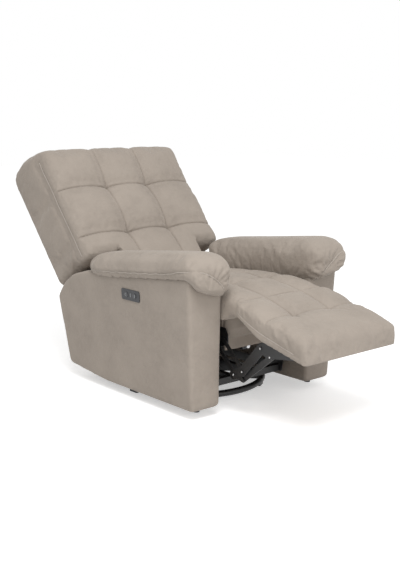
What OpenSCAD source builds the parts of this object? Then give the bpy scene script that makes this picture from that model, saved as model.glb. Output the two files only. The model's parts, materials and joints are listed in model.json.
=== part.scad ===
// Power recliner on a round ring base, shown laid back with its footrest out.
// X runs across the chair, +X to the sitter's left. The chair faces -Y. Z is up from the floor.
// Places along Y are measured from the swivel's centre line; axis_y then moves the whole chair.

/* [Overall] */
// Width over both arms at the floor
chair_w = 790; // [740:1:850]
// Distance of the swivel's centre line behind the middle of the open chair
axis_y = 36; // [30:0.5:80]

/* [Ring base] */
// Radius of the ring's centre line
ring_r = 319; // [300:1:325]
// Diameter of the ring's tube
tube_d = 28; // [22:1:30]
// Height of the rest pads under the ring's tube
pad_floor_h = 4; // [2:0.5:4]
// Width of a rest pad across the tube
rest_w = 20; // [16:1:26]
// Length of a rest pad along the ring
rest_len = 46; // [30:1:60]
// Number of rest pads
rest_count = 6; // [4:1:8]
// Height of the hub above the floor
hub_z = 60; // [54:1:64]
// Width of a pressed cross arm
press_w = 38; // [30:1:46]
// Depth of a pressed cross arm
press_h = 18; // [16:1:20]
// Thickness of the pressed steel
press_t = 2.5; // [2:0.5:4]
// Radius at which the cross arms start
hub_r = 40; // [30:1:48]
// Radius at which a cross arm bends down
press_bend_r = 176; // [150:1:190]
// Radius at which a cross arm has reached the ring's height
press_low_r = 236; // [220:1:240]

/* [Swivel bearing] */
// Side of the square swivel plates
swivel_w = 176; // [160:1:200]
// Thickness of the swivel plates
swivel_t = 5; // [4:0.5:6]
// Corner radius of the swivel plates
swivel_corner_r = 18; // [8:1:30]
// Radius of the ball track
track_r = 58; // [50:1:66]
// Diameter of the bearing balls
ball_d = 10; // [8:1:12]
// Depth of the ball groove in each plate
groove_h = 2; // [1:0.5:2.5]
// Number of balls
ball_count = 20; // [12:1:24]
// Radius of the centre rivet's shank
rivet_r = 8; // [6:0.5:10]
// Radius of the centre rivet's heads
rivet_head_r = 15; // [12:1:20]
// Height of a rivet head
rivet_head_h = 4; // [3:0.5:6]

/* [Chassis] */
// Height of the rails and cross bars
rail_h = 28; // [24:1:34]
// Width of the rails and cross bars
rail_w = 28; // [22:1:36]
// Wall of the rails and cross bars
rail_wall = 2; // [1.5:0.5:3]
// Distance of each rail's middle from the chair's middle
rail_x = 66; // [55:1:72]
// Place of the front cross bar's middle
front_bar_y = -344; // [-350:1:-335]
// Place of the rear cross bar's middle
rear_bar_y = 250; // [230:1:270]
// Gap between a side plate's inner face and the arm beside it
plate_gap = 50; // [49:1:52]
// Thickness of the side plates
plate_t = 4; // [3:0.5:4]
// Width of metal left round the openings of a side plate
plate_edge = 26; // [20:1:32]
// Place of the front tie between side plate and arm
tie_y = -200; // [-210:1:-190]
// Place of the rear tie between side plate and arm
tie_rear_y = 60; // [40:1:80]
// Height of the ties' middle
tie_z = 275; // [260:1:290]
// Width of a tie
tie_w = 40; // [30:1:50]
// Height of a tie
tie_h = 50; // [40:1:60]

/* [Linkage pivots] */
// First link's pivot on the side plate, along Y
first_y = -445; // [-446:1:-444]
// First link's pivot height
first_z = 300; // [299:1:301]
// Second link's pivot on the side plate, along Y
second_y = -397; // [-398:1:-396]
// Second link's pivot height
second_z = 286; // [285:1:287]
// Pivot between the first link and the wide link, along Y
elbow_y = -562; // [-563:1:-561]
// Height of that pivot
elbow_z = 192; // [191:1:193]
// Pivot between the second link and the wide link, along Y
cross_y = -513; // [-514:1:-512]
// Height of that pivot
cross_z = 170; // [169:1:171]
// Pivot between the second link and the inner link, along Y
knee_y = -557; // [-558:1:-556]
// Height of that pivot
knee_z = 157; // [156:1:158]
// Footrest bracket's pivot on the wide link, along Y
heel_y = -668; // [-669:1:-667]
// Height of that pivot
heel_z = 308; // [307:1:309]
// Footrest bracket's pivot on the inner link, along Y
toe_y = -717; // [-718:1:-716]
// Height of that pivot
toe_z = 283; // [282:1:284]

/* [Links] */
// Thickness of the links
link_t = 4; // [3:0.5:4]
// Gap between neighbouring layers of links
layer_gap = 1; // [0.8:0.1:1]
// Width of the first and second links
link_w = 18; // [16:1:18]
// Width of the wide link
wide_w = 40; // [32:1:42]
// Width of the inner link
inner_w = 24; // [18:1:26]
// Width of the footrest bracket round its pivots
bracket_w = 26; // [20:1:30]
// Radius of the linkage pins
pin_r = 5; // [4:0.5:5]
// Radius of a pin's head
pin_head_r = 9; // [8:0.5:10]
// Height of a pin's head
pin_head_h = 2; // [1.5:0.1:2.2]

/* [Drive] */
// Radius of the cross tube
shaft_r = 10; // [8:0.5:11]
// Length of the crank on the cross tube
crank_len = 25; // [20:1:26]
// Thickness of the crank's plate
crank_t = 8; // [6:1:10]
// Radius of the crank's end
crank_r = 7; // [6:0.5:7.5]
// Radius of the crank's pin
crank_pin_r = 3.5; // [3:0.25:4]
// Lean of the crank from straight down, in degrees
crank_lean = 46.9; // [44:0.1:48]
// Thickness of a fork plate on the travelling block
fork_t = 4; // [3:0.5:6]
// Length of the travelling block
block_l = 40; // [34:1:50]
// Width of the travelling block
block_w = 34; // [28:1:40]
// Height of the travelling block
block_h = 30; // [26:1:34]
// Radius of the spindle's tube
spindle_r = 9; // [7:0.5:11]
// Height of the spindle
spindle_z = 222; // [212:1:226]
// Place of the travelling block's middle
block_y = -335; // [-345:1:-330]
// Front end of the spindle
spindle_front_y = -372; // [-376:1:-366]
// Place of the gear housing's middle
gear_y = 84; // [76:1:92]
// Length of the gear housing
gear_l = 60; // [50:1:70]
// Width of the gear housing
gear_w = 74; // [64:1:80]
// Height of the gear housing
gear_h = 64; // [54:1:70]
// Radius of the motor
motor_r = 26; // [22:1:28]
// Length of the motor
motor_l = 96; // [80:1:100]
// Width of the hanger that carries the gear housing
hanger_w = 40; // [30:1:50]
// Thickness of that hanger
hanger_t = 12; // [8:1:16]

/* [Seat] */
// Height of the seat box's lower edge
box_z = 318; // [310:1:322]
// Height of the seat box's boards
box_h = 70; // [64:1:72]
// Thickness of the seat box's boards
board_t = 22; // [18:1:22]
// Front face of the seat box
box_front_y = -424; // [-428:1:-420]
// Rear face of the seat box
box_rear_y = 100; // [90:1:102]
// Radius of the spring wire
wire_r = 2; // [1.5:0.25:2.5]
// Radius of a loop of spring wire
loop_r = 14; // [11:1:16]
// Number of springs across the seat
spring_count = 4; // [3:1:4]
// Rear end of the seat cushion
seat_rear_y = 68; // [60:1:70]
// Front end of the seat cushion
seat_front_y = -520; // [-521:1:-512]
// Place of the sewn row near the seat's front
seat_row_y = -367; // [-380:1:-355]
// Height of that row at its sewn points
seat_row_z = 500; // [490:1:505]
// Height of the cushion's top at its front end
seat_nose_z = 482; // [470:1:486]
// Height of the cushion's top at its rear end
seat_back_z = 462; // [450:1:470]
// Height of the cushion's top along its sides
seat_side_z = 440; // [430:1:450]
// Height of the seat's crown over the sewn points
seat_crown = 32; // [20:1:36]
// Radius of the seat's rounded front end
seat_nose_r = 40; // [30:1:44]
// Distance of the seat's sewn columns from the middle
seat_column_x = 100; // [90:1:110]
// Gap between the front fascia and an arm
fascia_gap = 56; // [54:1:66]
// Thickness of the front fascia
fascia_t = 12; // [8:1:12]
// Lower edge of the front fascia
fascia_low_z = 246; // [236:1:256]
// Height of the seam across the fascia
fascia_seam_z = 292; // [285:1:305]
// Width and depth of a sewn seam
seam_w = 5; // [3:0.5:6]

/* [Arms] */
// Width of one arm at its foot
arm_w = 149; // [144:1:150]
// Lean of an arm's outer face from foot to shoulder
arm_flare = 26; // [10:1:30]
// Height of an arm's lower edge
arm_low_z = 35; // [34:1:40]
// Front face of an arm at its foot
arm_front_y = -472; // [-476:1:-466]
// Front face of an arm at its shoulder
arm_shoulder_y = -484; // [-488:1:-480]
// Place where an arm's lower edge turns up
arm_bend_y = 124; // [110:1:135]
// Rear end of an arm's lower edge
arm_heel_y = 393; // [385:1:398]
// Height of an arm's lower edge at its rear end
arm_heel_z = 61; // [50:1:70]
// Rearmost place of an arm
arm_rear_y = 460; // [450:1:462]
// Height of an arm's rearmost place
arm_rear_z = 368; // [360:1:375]
// Middle of the arm's rear slope, along Y
arm_slope_y = 405; // [400:1:408]
// Height of that place
arm_slope_z = 434; // [428:1:436]
// Upper end of the arm's rear slope, along Y
arm_back_y = 330; // [325:1:335]
// Height of that end
arm_back_z = 482; // [476:1:484]
// Rear end of the arm's top under its pad
arm_top_y = 224; // [215:1:230]
// Height of that end
arm_top_z = 511; // [505:1:513]
// Height of an arm's front end under its pad
arm_shoulder_z = 576; // [566:1:582]
// Radius of an arm's upholstered corners
arm_corner_r = 22; // [18:1:26]
// Radius of an arm's upholstered edges
arm_edge_r = 15; // [10:1:18]
// Wall of an arm's padded box
arm_wall = 17; // [14:1:20]

/* [Arm pads] */
// Front end of an arm pad
pad_front_y = -536; // [-542:1:-530]
// Rear end of an arm pad
pad_rear_y = 180; // [172:1:188]
// Height of an arm pad's top at its front
pad_front_z = 666; // [658:1:672]
// Height of an arm pad's top at its rear
pad_rear_z = 587; // [580:1:593]
// Reach of an arm pad past its arm's inner face
pad_in_reach = 17; // [12:1:20]
// Reach of an arm pad past its arm's outer face at the foot
pad_out_reach = 46; // [37:1:53]
// Depth of an arm pad on its outer side
pad_out_h = 90; // [82:1:98]
// Depth of an arm pad on its inner side
pad_in_h = 232; // [220:1:240]
// Length of an arm pad's rounded nose
pad_nose_l = 100; // [80:1:110]
// Drop of an arm pad's nose below the line of its top
pad_droop = 65; // [50:1:75]
// Length of an arm pad's rounded rear end
pad_tail_l = 112; // [95:1:125]
// Diameter of a glide under an arm
glide_d = 26; // [20:1:28]
// Height of a glide's underside above the floor
glide_z = 15; // [10:1:18]
// Place of the front glides
glide_front_y = -412; // [-425:1:-400]
// Place of the rear glides
glide_rear_y = 176; // [170:1:200]

/* [Footrest] */
// Reach of the footrest pad past an arm's inner face
foot_side_reach = 12; // [4:1:16]
// Rear end of the footrest pad
foot_rear_y = -562; // [-570:1:-560]
// Height of the pad's underside at its rear end
foot_rear_low_z = 424; // [420:1:430]
// Place where the pad's underside turns
foot_bend_y = -690; // [-696:1:-684]
// Height of that place
foot_bend_z = 350; // [346:1:354]
// Front end of the footrest pad
foot_front_y = -936; // [-945:1:-930]
// Height of the pad's underside at its front end
foot_front_low_z = 294; // [290:1:298]
// Height of the pad's top at its rear end
foot_rear_z = 474; // [466:1:478]
// Place of the footrest's sewn row
foot_row_y = -726; // [-735:1:-718]
// Height of that row at its sewn points
foot_row_z = 432; // [426:1:436]
// Height of the pad's top at its front end
foot_nose_z = 368; // [360:1:374]
// Drop of the pad's top along its sides
foot_side_drop = 16; // [8:1:22]
// Height of the footrest's crown over the sewn points
foot_crown = 22; // [14:1:26]
// Distance between a side of the footrest board and the pad's side
foot_board_inset = 23; // [18:1:30]
// Thickness of the footrest board
foot_board_t = 12; // [9:1:14]
// Rear end of the footrest board
foot_board_rear_y = -696; // [-706:1:-692]
// Front end of the footrest board
foot_board_front_y = -912; // [-920:1:-905]
// Distance between a bumper and the footrest's middle
bumper_x = 160; // [120:1:200]
// Place of the bumpers
bumper_y = -900; // [-908:1:-890]
// Diameter of a bumper
bumper_d = 22; // [16:1:26]
// Height of a bumper
bumper_h = 8; // [6:1:10]

/* [Back] */
// Lean of the back from upright, in degrees
back_tilt = 40.7; // [39:0.1:41]
// Place of the lower sewn row
back_y = 323; // [321:1:326]
// Height of the lower sewn row
back_z = 637; // [635:1:640]
// Width of the back cushion
back_w = 772; // [750:1:780]
// Height of the back's front top edge above the lower sewn row
back_front_top = 462; // [450:1:475]
// Height of the back's rear top edge above the lower sewn row
back_rear_top = 543; // [530:1:556]
// Place of the crest of the back's top behind the sewn points
back_crest_y = 120; // [100:1:140]
// Radius of the back's crest
back_crest_r = 200; // [160:1:240]
// Radius of the back's upper rear edge
back_rear_r = 60; // [40:1:80]
// Depth of the back below the lower sewn row
back_low = 91; // [84:1:92]
// Thickness of the back behind the sewn points
back_deep = 280; // [265:1:285]
// Height of the back's crown over the sewn points
back_crown = 46; // [36:1:58]
// Drop of the back's front along its sides
back_side_y = 8; // [4:1:14]
// Distance between the sewn rows
row_pitch = 254; // [240:1:262]
// Distance of the back's sewn columns from the middle
column_x = 116; // [105:1:125]
// Radius of the back's upper front edge
back_corner_r = 50; // [40:1:70]
// Radius of the back's edges
back_edge_r = 30; // [20:1:36]
// Thickness of the padding beside the pocket for the back's frame
pocket_inset = 66; // [56:1:86]
// Thickness of the padding in front of the back's frame
pocket_y = 150; // [140:1:160]
// Depth of the pocket below the lower sewn row
pocket_low = 58; // [50:1:62]
// Height of the pocket above the lower sewn row
pocket_top = 410; // [390:1:420]
// Thickness of the back's rear cover
cover_t = 12; // [8:1:14]
// Gap between the lower back cushion and an arm
lower_gap = 56; // [54:1:66]
// Depth of the lower back cushion's end below the lower sewn row
lower_end = 298; // [290:1:300]
// Thickness of the lower back cushion
lower_deep = 120; // [100:1:140]
// Height of the lower back cushion's crown
lower_crown = 40; // [25:1:45]

/* [Back frame and hinge] */
// Place of the back's hinge pins
hinge_y = 120; // [118:1:122]
// Height of the back's hinge pins
hinge_z = 400; // [398:1:402]
// Radius of the back's hinge pins
hinge_r = 6; // [5:0.5:7]
// Radius of the hinge pins' heads
hinge_head_r = 12; // [10:0.5:14]
// Width of a back bracket
strap_w = 44; // [36:1:46]
// Thickness of a back bracket
strap_t = 5; // [4:0.5:5]
// Distance of a bracket's upper part behind the sewn points
strap_y = 184; // [178:1:190]
// Depth of a bracket's elbow below the lower sewn row
strap_low = 120; // [112:1:126]
// Height of a bracket's upper end above the lower sewn row
strap_top = 160; // [140:1:180]
// Width of a back stile
stile_w = 30; // [24:1:36]
// Depth of a stile or cross board of the back
stile_t = 40; // [34:1:44]
// Height of a cross board of the back
back_board_h = 50; // [40:1:56]

/* [Switch] */
// Place of the switch plate's middle
switch_y = -112; // [-130:1:-90]
// Height of the switch plate's middle
switch_z = 454; // [445:1:458]
// Length of the switch plate
switch_l = 122; // [110:1:130]
// Height of the switch plate
switch_h = 46; // [40:1:50]
// Distance that the switch plate stands proud of the fabric
switch_proud = 3; // [2:0.5:4]
// Depth of the switch body in the arm's wall
switch_deep = 14; // [12:1:18]
// Corner radius of the switch plate
switch_r = 9; // [6:1:12]
// Length of the switch body
switch_body_l = 100; // [90:1:106]
// Height of the switch body
switch_body_h = 36; // [32:1:38]
// Radius of a button
button_r = 11; // [9:0.5:12]
// Distance between a button's middle and the plate's middle
button_pitch = 27; // [24:1:32]
// Distance that a button stands out of the plate
button_proud = 1.8; // [1.6:0.1:2.5]
// Depth of a button in its well
button_deep = 6; // [5:0.5:8]
// Depth of the button wells
well_deep = 9; // [8.5:0.5:10]

/* [Rear panel and inlet] */
// Rear face of the rear panel
panel_y = 392; // [385:1:396]
// Thickness of the rear panel
panel_t = 18; // [14:1:22]
// Height of the rear panel's lower edge
panel_low_z = 84; // [76:1:90]
// Height of the rear panel's upper edge
panel_top_z = 332; // [320:1:336]
// Distance of the power inlet's middle from the side plate
inlet_gap = 46; // [30:1:66]
// Width of the power inlet
inlet_w = 24; // [20:1:28]
// Height of the power inlet
inlet_h = 18; // [14:1:22]
// Length of the power inlet
inlet_l = 22; // [16:1:26]
// Radius of the power inlet's socket
inlet_r = 4; // [3:0.5:5]

/* [Hidden] */

// Clearances and overruns
fit = 0.05;
soft_gap = 0.3;
open_gap = 2;
over = 1;

// Roundness
round_n = 96;
bore_n = 48;

// Colours
steel_color = "#1b1b1d";
zinc_color = "#8d8f92";
fabric_color = "#9b9185";
wood_color = "#c8a26e";
plastic_color = "#303236";

// Heights that follow from the base
ring_z = pad_floor_h + tube_d / 2;
press_low_z = ring_z + press_h / 2;
lower_top = hub_z + swivel_t;
ball_low = lower_top - groove_h;
upper_low = ball_low + ball_d - groove_h + fit;
rail_z = upper_low + swivel_t;
rail_top = rail_z + rail_h;
box_top = box_z + box_h;
arm_in = chair_w / 2 - arm_w;
arm_out = chair_w / 2;
plate_x = arm_in - plate_gap;
pad_in_x = arm_in - pad_in_reach;
pad_out_x = arm_out + pad_out_reach;
fascia_w = 2 * (arm_in - fascia_gap);
lower_w = 2 * (arm_in - lower_gap);
foot_w = 2 * (arm_in + foot_side_reach);
foot_board_w = foot_w - 2 * foot_board_inset;
pocket_w = back_w - 2 * pocket_inset;
inlet_x = plate_x - inlet_gap;
spring_pitch = 2 * (plate_x - board_t) / spring_count;

// Layers of the linkage, counted outward from the side plate
layer_x = plate_x + plate_t + layer_gap;
layer_pitch = link_t + layer_gap;

// Places of the pivots
first_p = [first_y, first_z];
second_p = [second_y, second_z];
elbow_p = [elbow_y, elbow_z];
cross_p = [cross_y, cross_z];
knee_p = [knee_y, knee_z];
heel_p = [heel_y, heel_z];
toe_p = [toe_y, toe_z];
hinge_p = [hinge_y, hinge_z];

// Moves a shape from the swivel's centre line to its place
module placed() {
  translate([0, axis_y, 0]) children();
}

// Draws a shape made for the left side, or its mirror image when s is below zero
module on_side(s) {
  if (s > 0) placed() children();
  else placed() mirror([1, 0, 0]) children();
}

module both_sides() {
  children();
  mirror([1, 0, 0]) children();
}

// Stands a flat outline, drawn in Y and Z, at x with thickness t
module plate_at(x, t) {
  translate([x, 0, 0]) rotate([90, 0, 90]) linear_extrude(t) children();
}

// Block from corner a to corner b
module block(a, b) {
  translate(a) cube(b - a);
}

module disc(p, r) {
  translate(p) circle(r, $fn = bore_n);
}

// Flat bar with round ends between two pivots
module bar(p, q, w) {
  d = q - p;
  translate(p) rotate(atan2(d[1], d[0])) translate([0, -w / 2]) square([norm(d), w]);
  disc(p, w / 2);
  disc(q, w / 2);
}

// Outline of a bent strip of width w along a centre line, with square ends half a width past it
function turned(v) = [-v[1], v[0]];
function strip_side(ps, i, off, reach) =
  let (n = len(ps), before = unit(ps[max(i, 1)] - ps[max(i, 1) - 1]))
  let (after = unit(ps[min(i, n - 2) + 1] - ps[min(i, n - 2)]))
  let (way = i == 0 ? -after : i == n - 1 ? before : [0, 0])
  let (miter = turned(before) + turned(after))
  ps[i] + way * reach + miter * off * 2 / (miter * miter);
function strip(ps, w) = concat(
  [for (i = [0 : len(ps) - 1]) strip_side(ps, i, -w / 2, w / 2)],
  [for (i = [len(ps) - 1 : -1 : 0]) strip_side(ps, i, w / 2, w / 2)]
);
module bent_bar(ps, w) {
  polygon(outline(strip(ps, w), w * strip_round_share, 0, 8));
}
strip_round_share = 0.45;

// Pin across the chair from x to x plus len
module pin(p, x, len, r) {
  plate_at(x, len) disc(p, r);
}

// Rectangle with round corners, centred
module round_rect(w, h, r) {
  square([w - 2 * r, h], center = true);
  square([w, h - 2 * r], center = true);
  for (i = [-1, 1], j = [-1, 1]) translate([i * (w / 2 - r), j * (h / 2 - r)]) circle(r, $fn = bore_n);
}

function mix(a, b, t) = a + (b - a) * t;
function unit(v) = v / norm(v);
function total(list) = list * [for (v = list) 1];
function middle(ring) = [for (k = [0 : 2]) total([for (p = ring) p[k]]) / len(ring)];
function clamp(v, lo, hi) = min(max(v, lo), hi);

// Share of the way across the cell between two seams that holds v
function cell(v, seams) =
  let (hits = [for (i = [0 : len(seams) - 2])
    if (v >= seams[i] && v <= seams[i + 1]) (v - seams[i]) / (seams[i + 1] - seams[i])])
  len(hits) > 0 ? hits[0] : 0;

puff_power_share = 0.6;
puff_shares = [0.75, 0.75, -0.5];
function swell(v, seams) = pow(abs(sin(180 * cell(v, seams))), puff_power_share);
// Quilting over two sets of seams; a fade of 1 leaves the first set out
function puff(u, v, u_seams, v_seams, fade = 0) =
  let (a = mix(swell(u, u_seams), 1, fade), b = swell(v, v_seams))
  puff_shares[0] * a + puff_shares[1] * b + puff_shares[2] * a * b;

// Height that falls off towards a half width w, with power n
function dome(u, w, n) = pow(max(0, 1 - pow(abs(u / w), n)), 1 / n);

// Stations from a to b with rounded ends; each is a place and the inset there
function stations(a, b, ra, rb, n, m) =
  let (s = sign(b - a))
  concat(
    [for (k = [0 : m - 1]) let (g = 90 * k / m) [a + s * ra * (1 - cos(g)), ra * (1 - sin(g))]],
    [for (k = [0 : n]) [mix(a + s * ra, b - s * rb, k / n), 0]],
    [for (k = [m - 1 : -1 : 0]) let (g = 90 * k / m) [b - s * rb * (1 - cos(g)), rb * (1 - sin(g))]]
  );

// Places across a cushion, closer together near its sides
function across(w, n) = [for (i = [0 : n]) let (u = 1 - 2 * i / n) w * u * (3 - u * u) / 2];

// Places through a list of marks, with n steps from each to the next
function parted(marks, n) = concat(
  [for (i = [0 : len(marks) - 2], k = [0 : n - 1]) mix(marks[i], marks[i + 1], k / n)],
  [marks[len(marks) - 1]]
);
function reversed(list) = [for (i = [len(list) - 1 : -1 : 0]) list[i]];

// Rounded outline of a convex polygon, drawn in by the inset
function corner(a, b, c, r, inset, n) =
  let (u = unit(a - b), v = unit(c - b), half = acos(u * v) / 2)
  let (o = b + unit(u + v) * r / sin(half), reach = r / tan(half))
  let (s = unit(b + u * reach - o), e = unit(b + v * reach - o))
  [for (k = [0 : n]) o + (r - inset) * unit(mix(s, e, k / n))];
function outline(points, r, inset, n) =
  let (m = len(points))
  [for (i = [0 : m - 1]) each corner(points[(i + m - 1) % m], points[i], points[(i + 1) % m], r, inset, n)];

// Closed skin over rings that turn anticlockwise about the way from the first to the last
module skin(rings) {
  n = len(rings[0]);
  m = len(rings);
  polyhedron(
    points = concat([for (ring = rings) each ring], [middle(rings[0]), middle(rings[m - 1])]),
    faces = concat(
      [for (i = [0 : n - 1]) [m * n, i, (i + 1) % n]],
      [for (j = [0 : m - 2], i = [0 : n - 1]) let (k = (i + 1) % n)
        each [[j * n + i, (j + 1) * n + i, (j + 1) * n + k], [j * n + i, (j + 1) * n + k, j * n + k]]],
      [for (i = [0 : n - 1]) [m * n + 1, (m - 1) * n + (i + 1) % n, (m - 1) * n + i]]
    )
  );
}

// Ring base

module ring_shape() {
  rotate_extrude($fn = round_n) translate([ring_r, ring_z]) circle(tube_d / 2, $fn = bore_n);
}

module ring_tube() {
  color(steel_color) placed() ring_shape();
}

module rest_pads() {
  color(plastic_color) placed() difference() {
    for (i = [1 : rest_count]) rotate(360 * i / rest_count)
      block([ring_r - rest_w / 2, -rest_len / 2, 0], [ring_r + rest_w / 2, rest_len / 2, ring_z]);
    ring_shape();
  }
}

module press_side(cut) {
  polygon([
    [hub_r, hub_z - cut], [press_bend_r, hub_z - cut], [press_low_r, press_low_z - cut],
    [ring_r, press_low_z - cut], [ring_r, press_low_z - press_h - cut],
    [press_low_r, press_low_z - press_h - cut], [press_bend_r, hub_z - press_h - cut],
    [hub_r, hub_z - press_h - cut]
  ]);
}

module upright_slice(w) {
  rotate([90, 0, 0]) translate([0, 0, -w / 2]) linear_extrude(w) children();
}

module cross_arms() {
  color(steel_color) placed() for (i = [0 : 3]) rotate(45 + 90 * i) difference() {
    upright_slice(press_w) press_side(0);
    translate([-over, 0, 0]) upright_slice(press_w - 2 * press_t) press_side(press_t);
    ring_shape();
  }
}

module swivel_plate(z, groove_z) {
  placed() difference() {
    translate([0, 0, z]) linear_extrude(swivel_t) round_rect(swivel_w, swivel_w, swivel_corner_r);
    translate([0, 0, groove_z]) rotate_extrude($fn = round_n) translate([track_r - ball_d / 2, 0])
      square([ball_d, groove_h + over]);
    translate([0, 0, z - over]) cylinder(h = swivel_t + 2 * over, r = rivet_r + fit, $fn = bore_n);
  }
}

module lower_swivel_plate() {
  color(steel_color) swivel_plate(hub_z, ball_low);
}

module upper_swivel_plate() {
  color(steel_color) swivel_plate(upper_low, upper_low - over);
}

module bearing_balls() {
  color(zinc_color) placed() for (i = [1 : ball_count]) rotate(360 * i / ball_count)
    translate([track_r, 0, ball_low + ball_d / 2]) sphere(ball_d / 2, $fn = bore_n);
}

module swivel_rivet() {
  low = hub_z;
  color(zinc_color) placed() {
    translate([0, 0, low - rivet_head_h]) cylinder(h = rivet_head_h, r = rivet_head_r, $fn = bore_n);
    translate([0, 0, low - over]) cylinder(h = rail_z + fit + over - low + over, r = rivet_r, $fn = bore_n);
    translate([0, 0, rail_z + fit]) cylinder(h = rivet_head_h, r = rivet_head_r, $fn = bore_n);
  }
}

// Chassis

module base_rail(s) {
  a = [rail_x - rail_w / 2, front_bar_y + rail_w / 2, rail_z];
  b = [rail_x + rail_w / 2, rear_bar_y - rail_w / 2, rail_top];
  wall = [rail_wall, -over, rail_wall];
  on_side(s) difference() {
    block(a, b);
    block(a + wall, b - wall);
  }
}

module left_base_rail() {
  color(steel_color) base_rail(1);
}

module right_base_rail() {
  color(steel_color) base_rail(-1);
}

module cross_bar(y) {
  a = [-plate_x, y - rail_w / 2, rail_z];
  b = [plate_x, y + rail_w / 2, rail_top];
  wall = [-over, rail_wall, rail_wall];
  placed() difference() {
    block(a, b);
    block(a + wall, b - wall);
  }
}

module front_cross_bar() {
  color(steel_color) cross_bar(front_bar_y);
}

module rear_cross_bar() {
  color(steel_color) cross_bar(rear_bar_y);
}

// Side plate: a leg from each cross bar up to a beam, with an ear for the back's hinge
module plate_outline() {
  lip = plate_edge / 2;
  front = front_bar_y - rail_w / 2;
  rear = rear_bar_y + rail_w / 2;
  beam_low = tie_z - tie_h / 2 - lip / 2;
  beam_top = box_z + plate_edge;
  difference() {
    polygon(outline([
      [front - lip, rail_z], [rear, rail_z], [rear, rail_top], [hinge_y + strap_w / 2, box_z],
      [hinge_y + strap_w / 2, hinge_z + strap_w / 2], [hinge_y - strap_w / 2, hinge_z + strap_w / 2],
      [hinge_y - strap_w / 2, beam_top], [first_y, beam_top], [first_y - 2 * link_w / 2, first_z + link_w],
      [first_y - 2 * link_w / 2, first_z - link_w], [second_y - link_w, second_z - plate_edge]
    ], lip / 2, 0, 6));
    polygon(outline([
      [front + 2 * lip, rail_top + lip / 2], [rear - 2 * lip, rail_top + lip / 2],
      [tie_rear_y + tie_w, beam_low], [tie_y - tie_w, beam_low]
    ], lip / 2, 0, 6));
    for (i = [1 : 3]) disc([mix(tie_y, tie_rear_y, i / 4), tie_z + lip], lip + lip / 2);
  }
}

module side_plate(s) {
  on_side(s) difference() {
    plate_at(plate_x, plate_t) plate_outline();
    pin(first_p, plate_x - over, plate_t + 2 * over, pin_r + fit);
    pin(second_p, plate_x - over, plate_t + 2 * over, pin_r + fit);
    pin(hinge_p, plate_x - over, plate_t + 2 * over, hinge_r + fit);
  }
}

module left_side_plate() {
  color(steel_color) side_plate(1);
}

module right_side_plate() {
  color(steel_color) side_plate(-1);
}

module arm_ties() {
  x = plate_x + plate_t;
  color(steel_color) placed() both_sides() for (y = [tie_y, tie_rear_y]) difference() {
    block([x, y - tie_w / 2, tie_z - tie_h / 2], [arm_in, y + tie_w / 2, tie_z + tie_h / 2]);
    block([x - over, y - tie_w / 2 + rail_wall, tie_z - tie_h / 2 + rail_wall],
      [arm_in + over, y + tie_w / 2 - rail_wall, tie_z + tie_h / 2 - rail_wall]);
  }
}

// Seat

module seat_front_board() {
  color(wood_color) placed()
    block([-plate_x, box_front_y, box_z], [plate_x, box_front_y + board_t, box_top]);
}

module seat_rear_board() {
  color(wood_color) placed()
    block([-plate_x, box_rear_y - board_t, box_z], [plate_x, box_rear_y, box_top]);
}

module seat_board(s) {
  on_side(s)
    block([plate_x - board_t, box_front_y + board_t, box_z], [plate_x, box_rear_y - board_t, box_top]);
}

module left_seat_board() {
  color(wood_color) seat_board(1);
}

module right_seat_board() {
  color(wood_color) seat_board(-1);
}

// Wavy spring along Y of a given length, lying flat from the origin, with loops to both sides
module wavy_spring(length) {
  n = floor((length - 4 * loop_r) / (2 * loop_r) / 2) * 2;
  lead = (length - n * 2 * loop_r) / 2;
  rod(0, lead);
  rod(length - lead, length);
  for (i = [0 : n - 1]) translate([0, lead + (2 * i + 1) * loop_r, 0]) rotate(i % 2 == 0 ? -90 : 90)
    rotate_extrude(angle = 180, $fn = bore_n) translate([loop_r, 0]) circle(wire_r, $fn = soft_n);
}

soft_n = 16;

module rod(from_y, to_y) {
  translate([0, from_y, 0]) rotate([-90, 0, 0]) cylinder(h = to_y - from_y, r = wire_r, $fn = soft_n);
}

module seat_springs() {
  from_y = box_front_y + board_t;
  length = box_rear_y - box_front_y - 2 * board_t;
  first_x = -spring_pitch * (spring_count - 1) / 2;
  color(zinc_color) placed() for (i = [0 : spring_count - 1])
    translate([first_x + i * spring_pitch, from_y, box_top - wire_r]) wavy_spring(length);
}

seat_w = arm_in - soft_gap;
seat_seams_x = [-seat_w, -seat_column_x, seat_column_x, seat_w];
seat_rows = [seat_front_y, seat_row_y, seat_rear_y];
seat_dome_power = 5;
function seat_line(y) = y < seat_row_y
  ? mix(seat_nose_z, seat_row_z, (y - seat_front_y) / (seat_row_y - seat_front_y))
  : mix(seat_row_z, seat_back_z, (y - seat_row_y) / (seat_rear_y - seat_row_y));
function seat_top(x, y) =
  let (flat = seat_line(y) + seat_crown * puff(x, y, seat_seams_x, seat_rows) - seat_crown / 2)
  seat_side_z + (flat - seat_side_z) * dome(x, seat_w, seat_dome_power);

module seat_cushion() {
  xs = across(seat_w, 20);
  color(fabric_color) placed() difference() {
    skin([for (s = stations(seat_rear_y, seat_front_y, seat_nose_r / 2, seat_nose_r, 14, 4))
      let (k = 1 - s[1] / seat_w)
      concat(
        [for (x = [-seat_w, -seat_w / 2, 0, seat_w / 2, seat_w]) [x * k, s[0], box_top + s[1]]],
        [for (x = xs) [x * k, s[0], max(seat_top(x, s[0]) - s[1], box_top + s[1] + over)]]
      )
    ]);
    both_sides() pad_skin(soft_gap);
  }
}

module seat_fascia() {
  y = box_front_y - fascia_t;
  color(fabric_color) placed() difference() {
    block([-fascia_w / 2, y, fascia_low_z], [fascia_w / 2, box_front_y, box_top - over]);
    translate([-fascia_w / 2 - over, y, fascia_seam_z]) rotate([45, 0, 0])
      translate([0, -seam_w / 2, -seam_w / 2]) cube([fascia_w + 2 * over, seam_w, seam_w]);
  }
}

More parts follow.
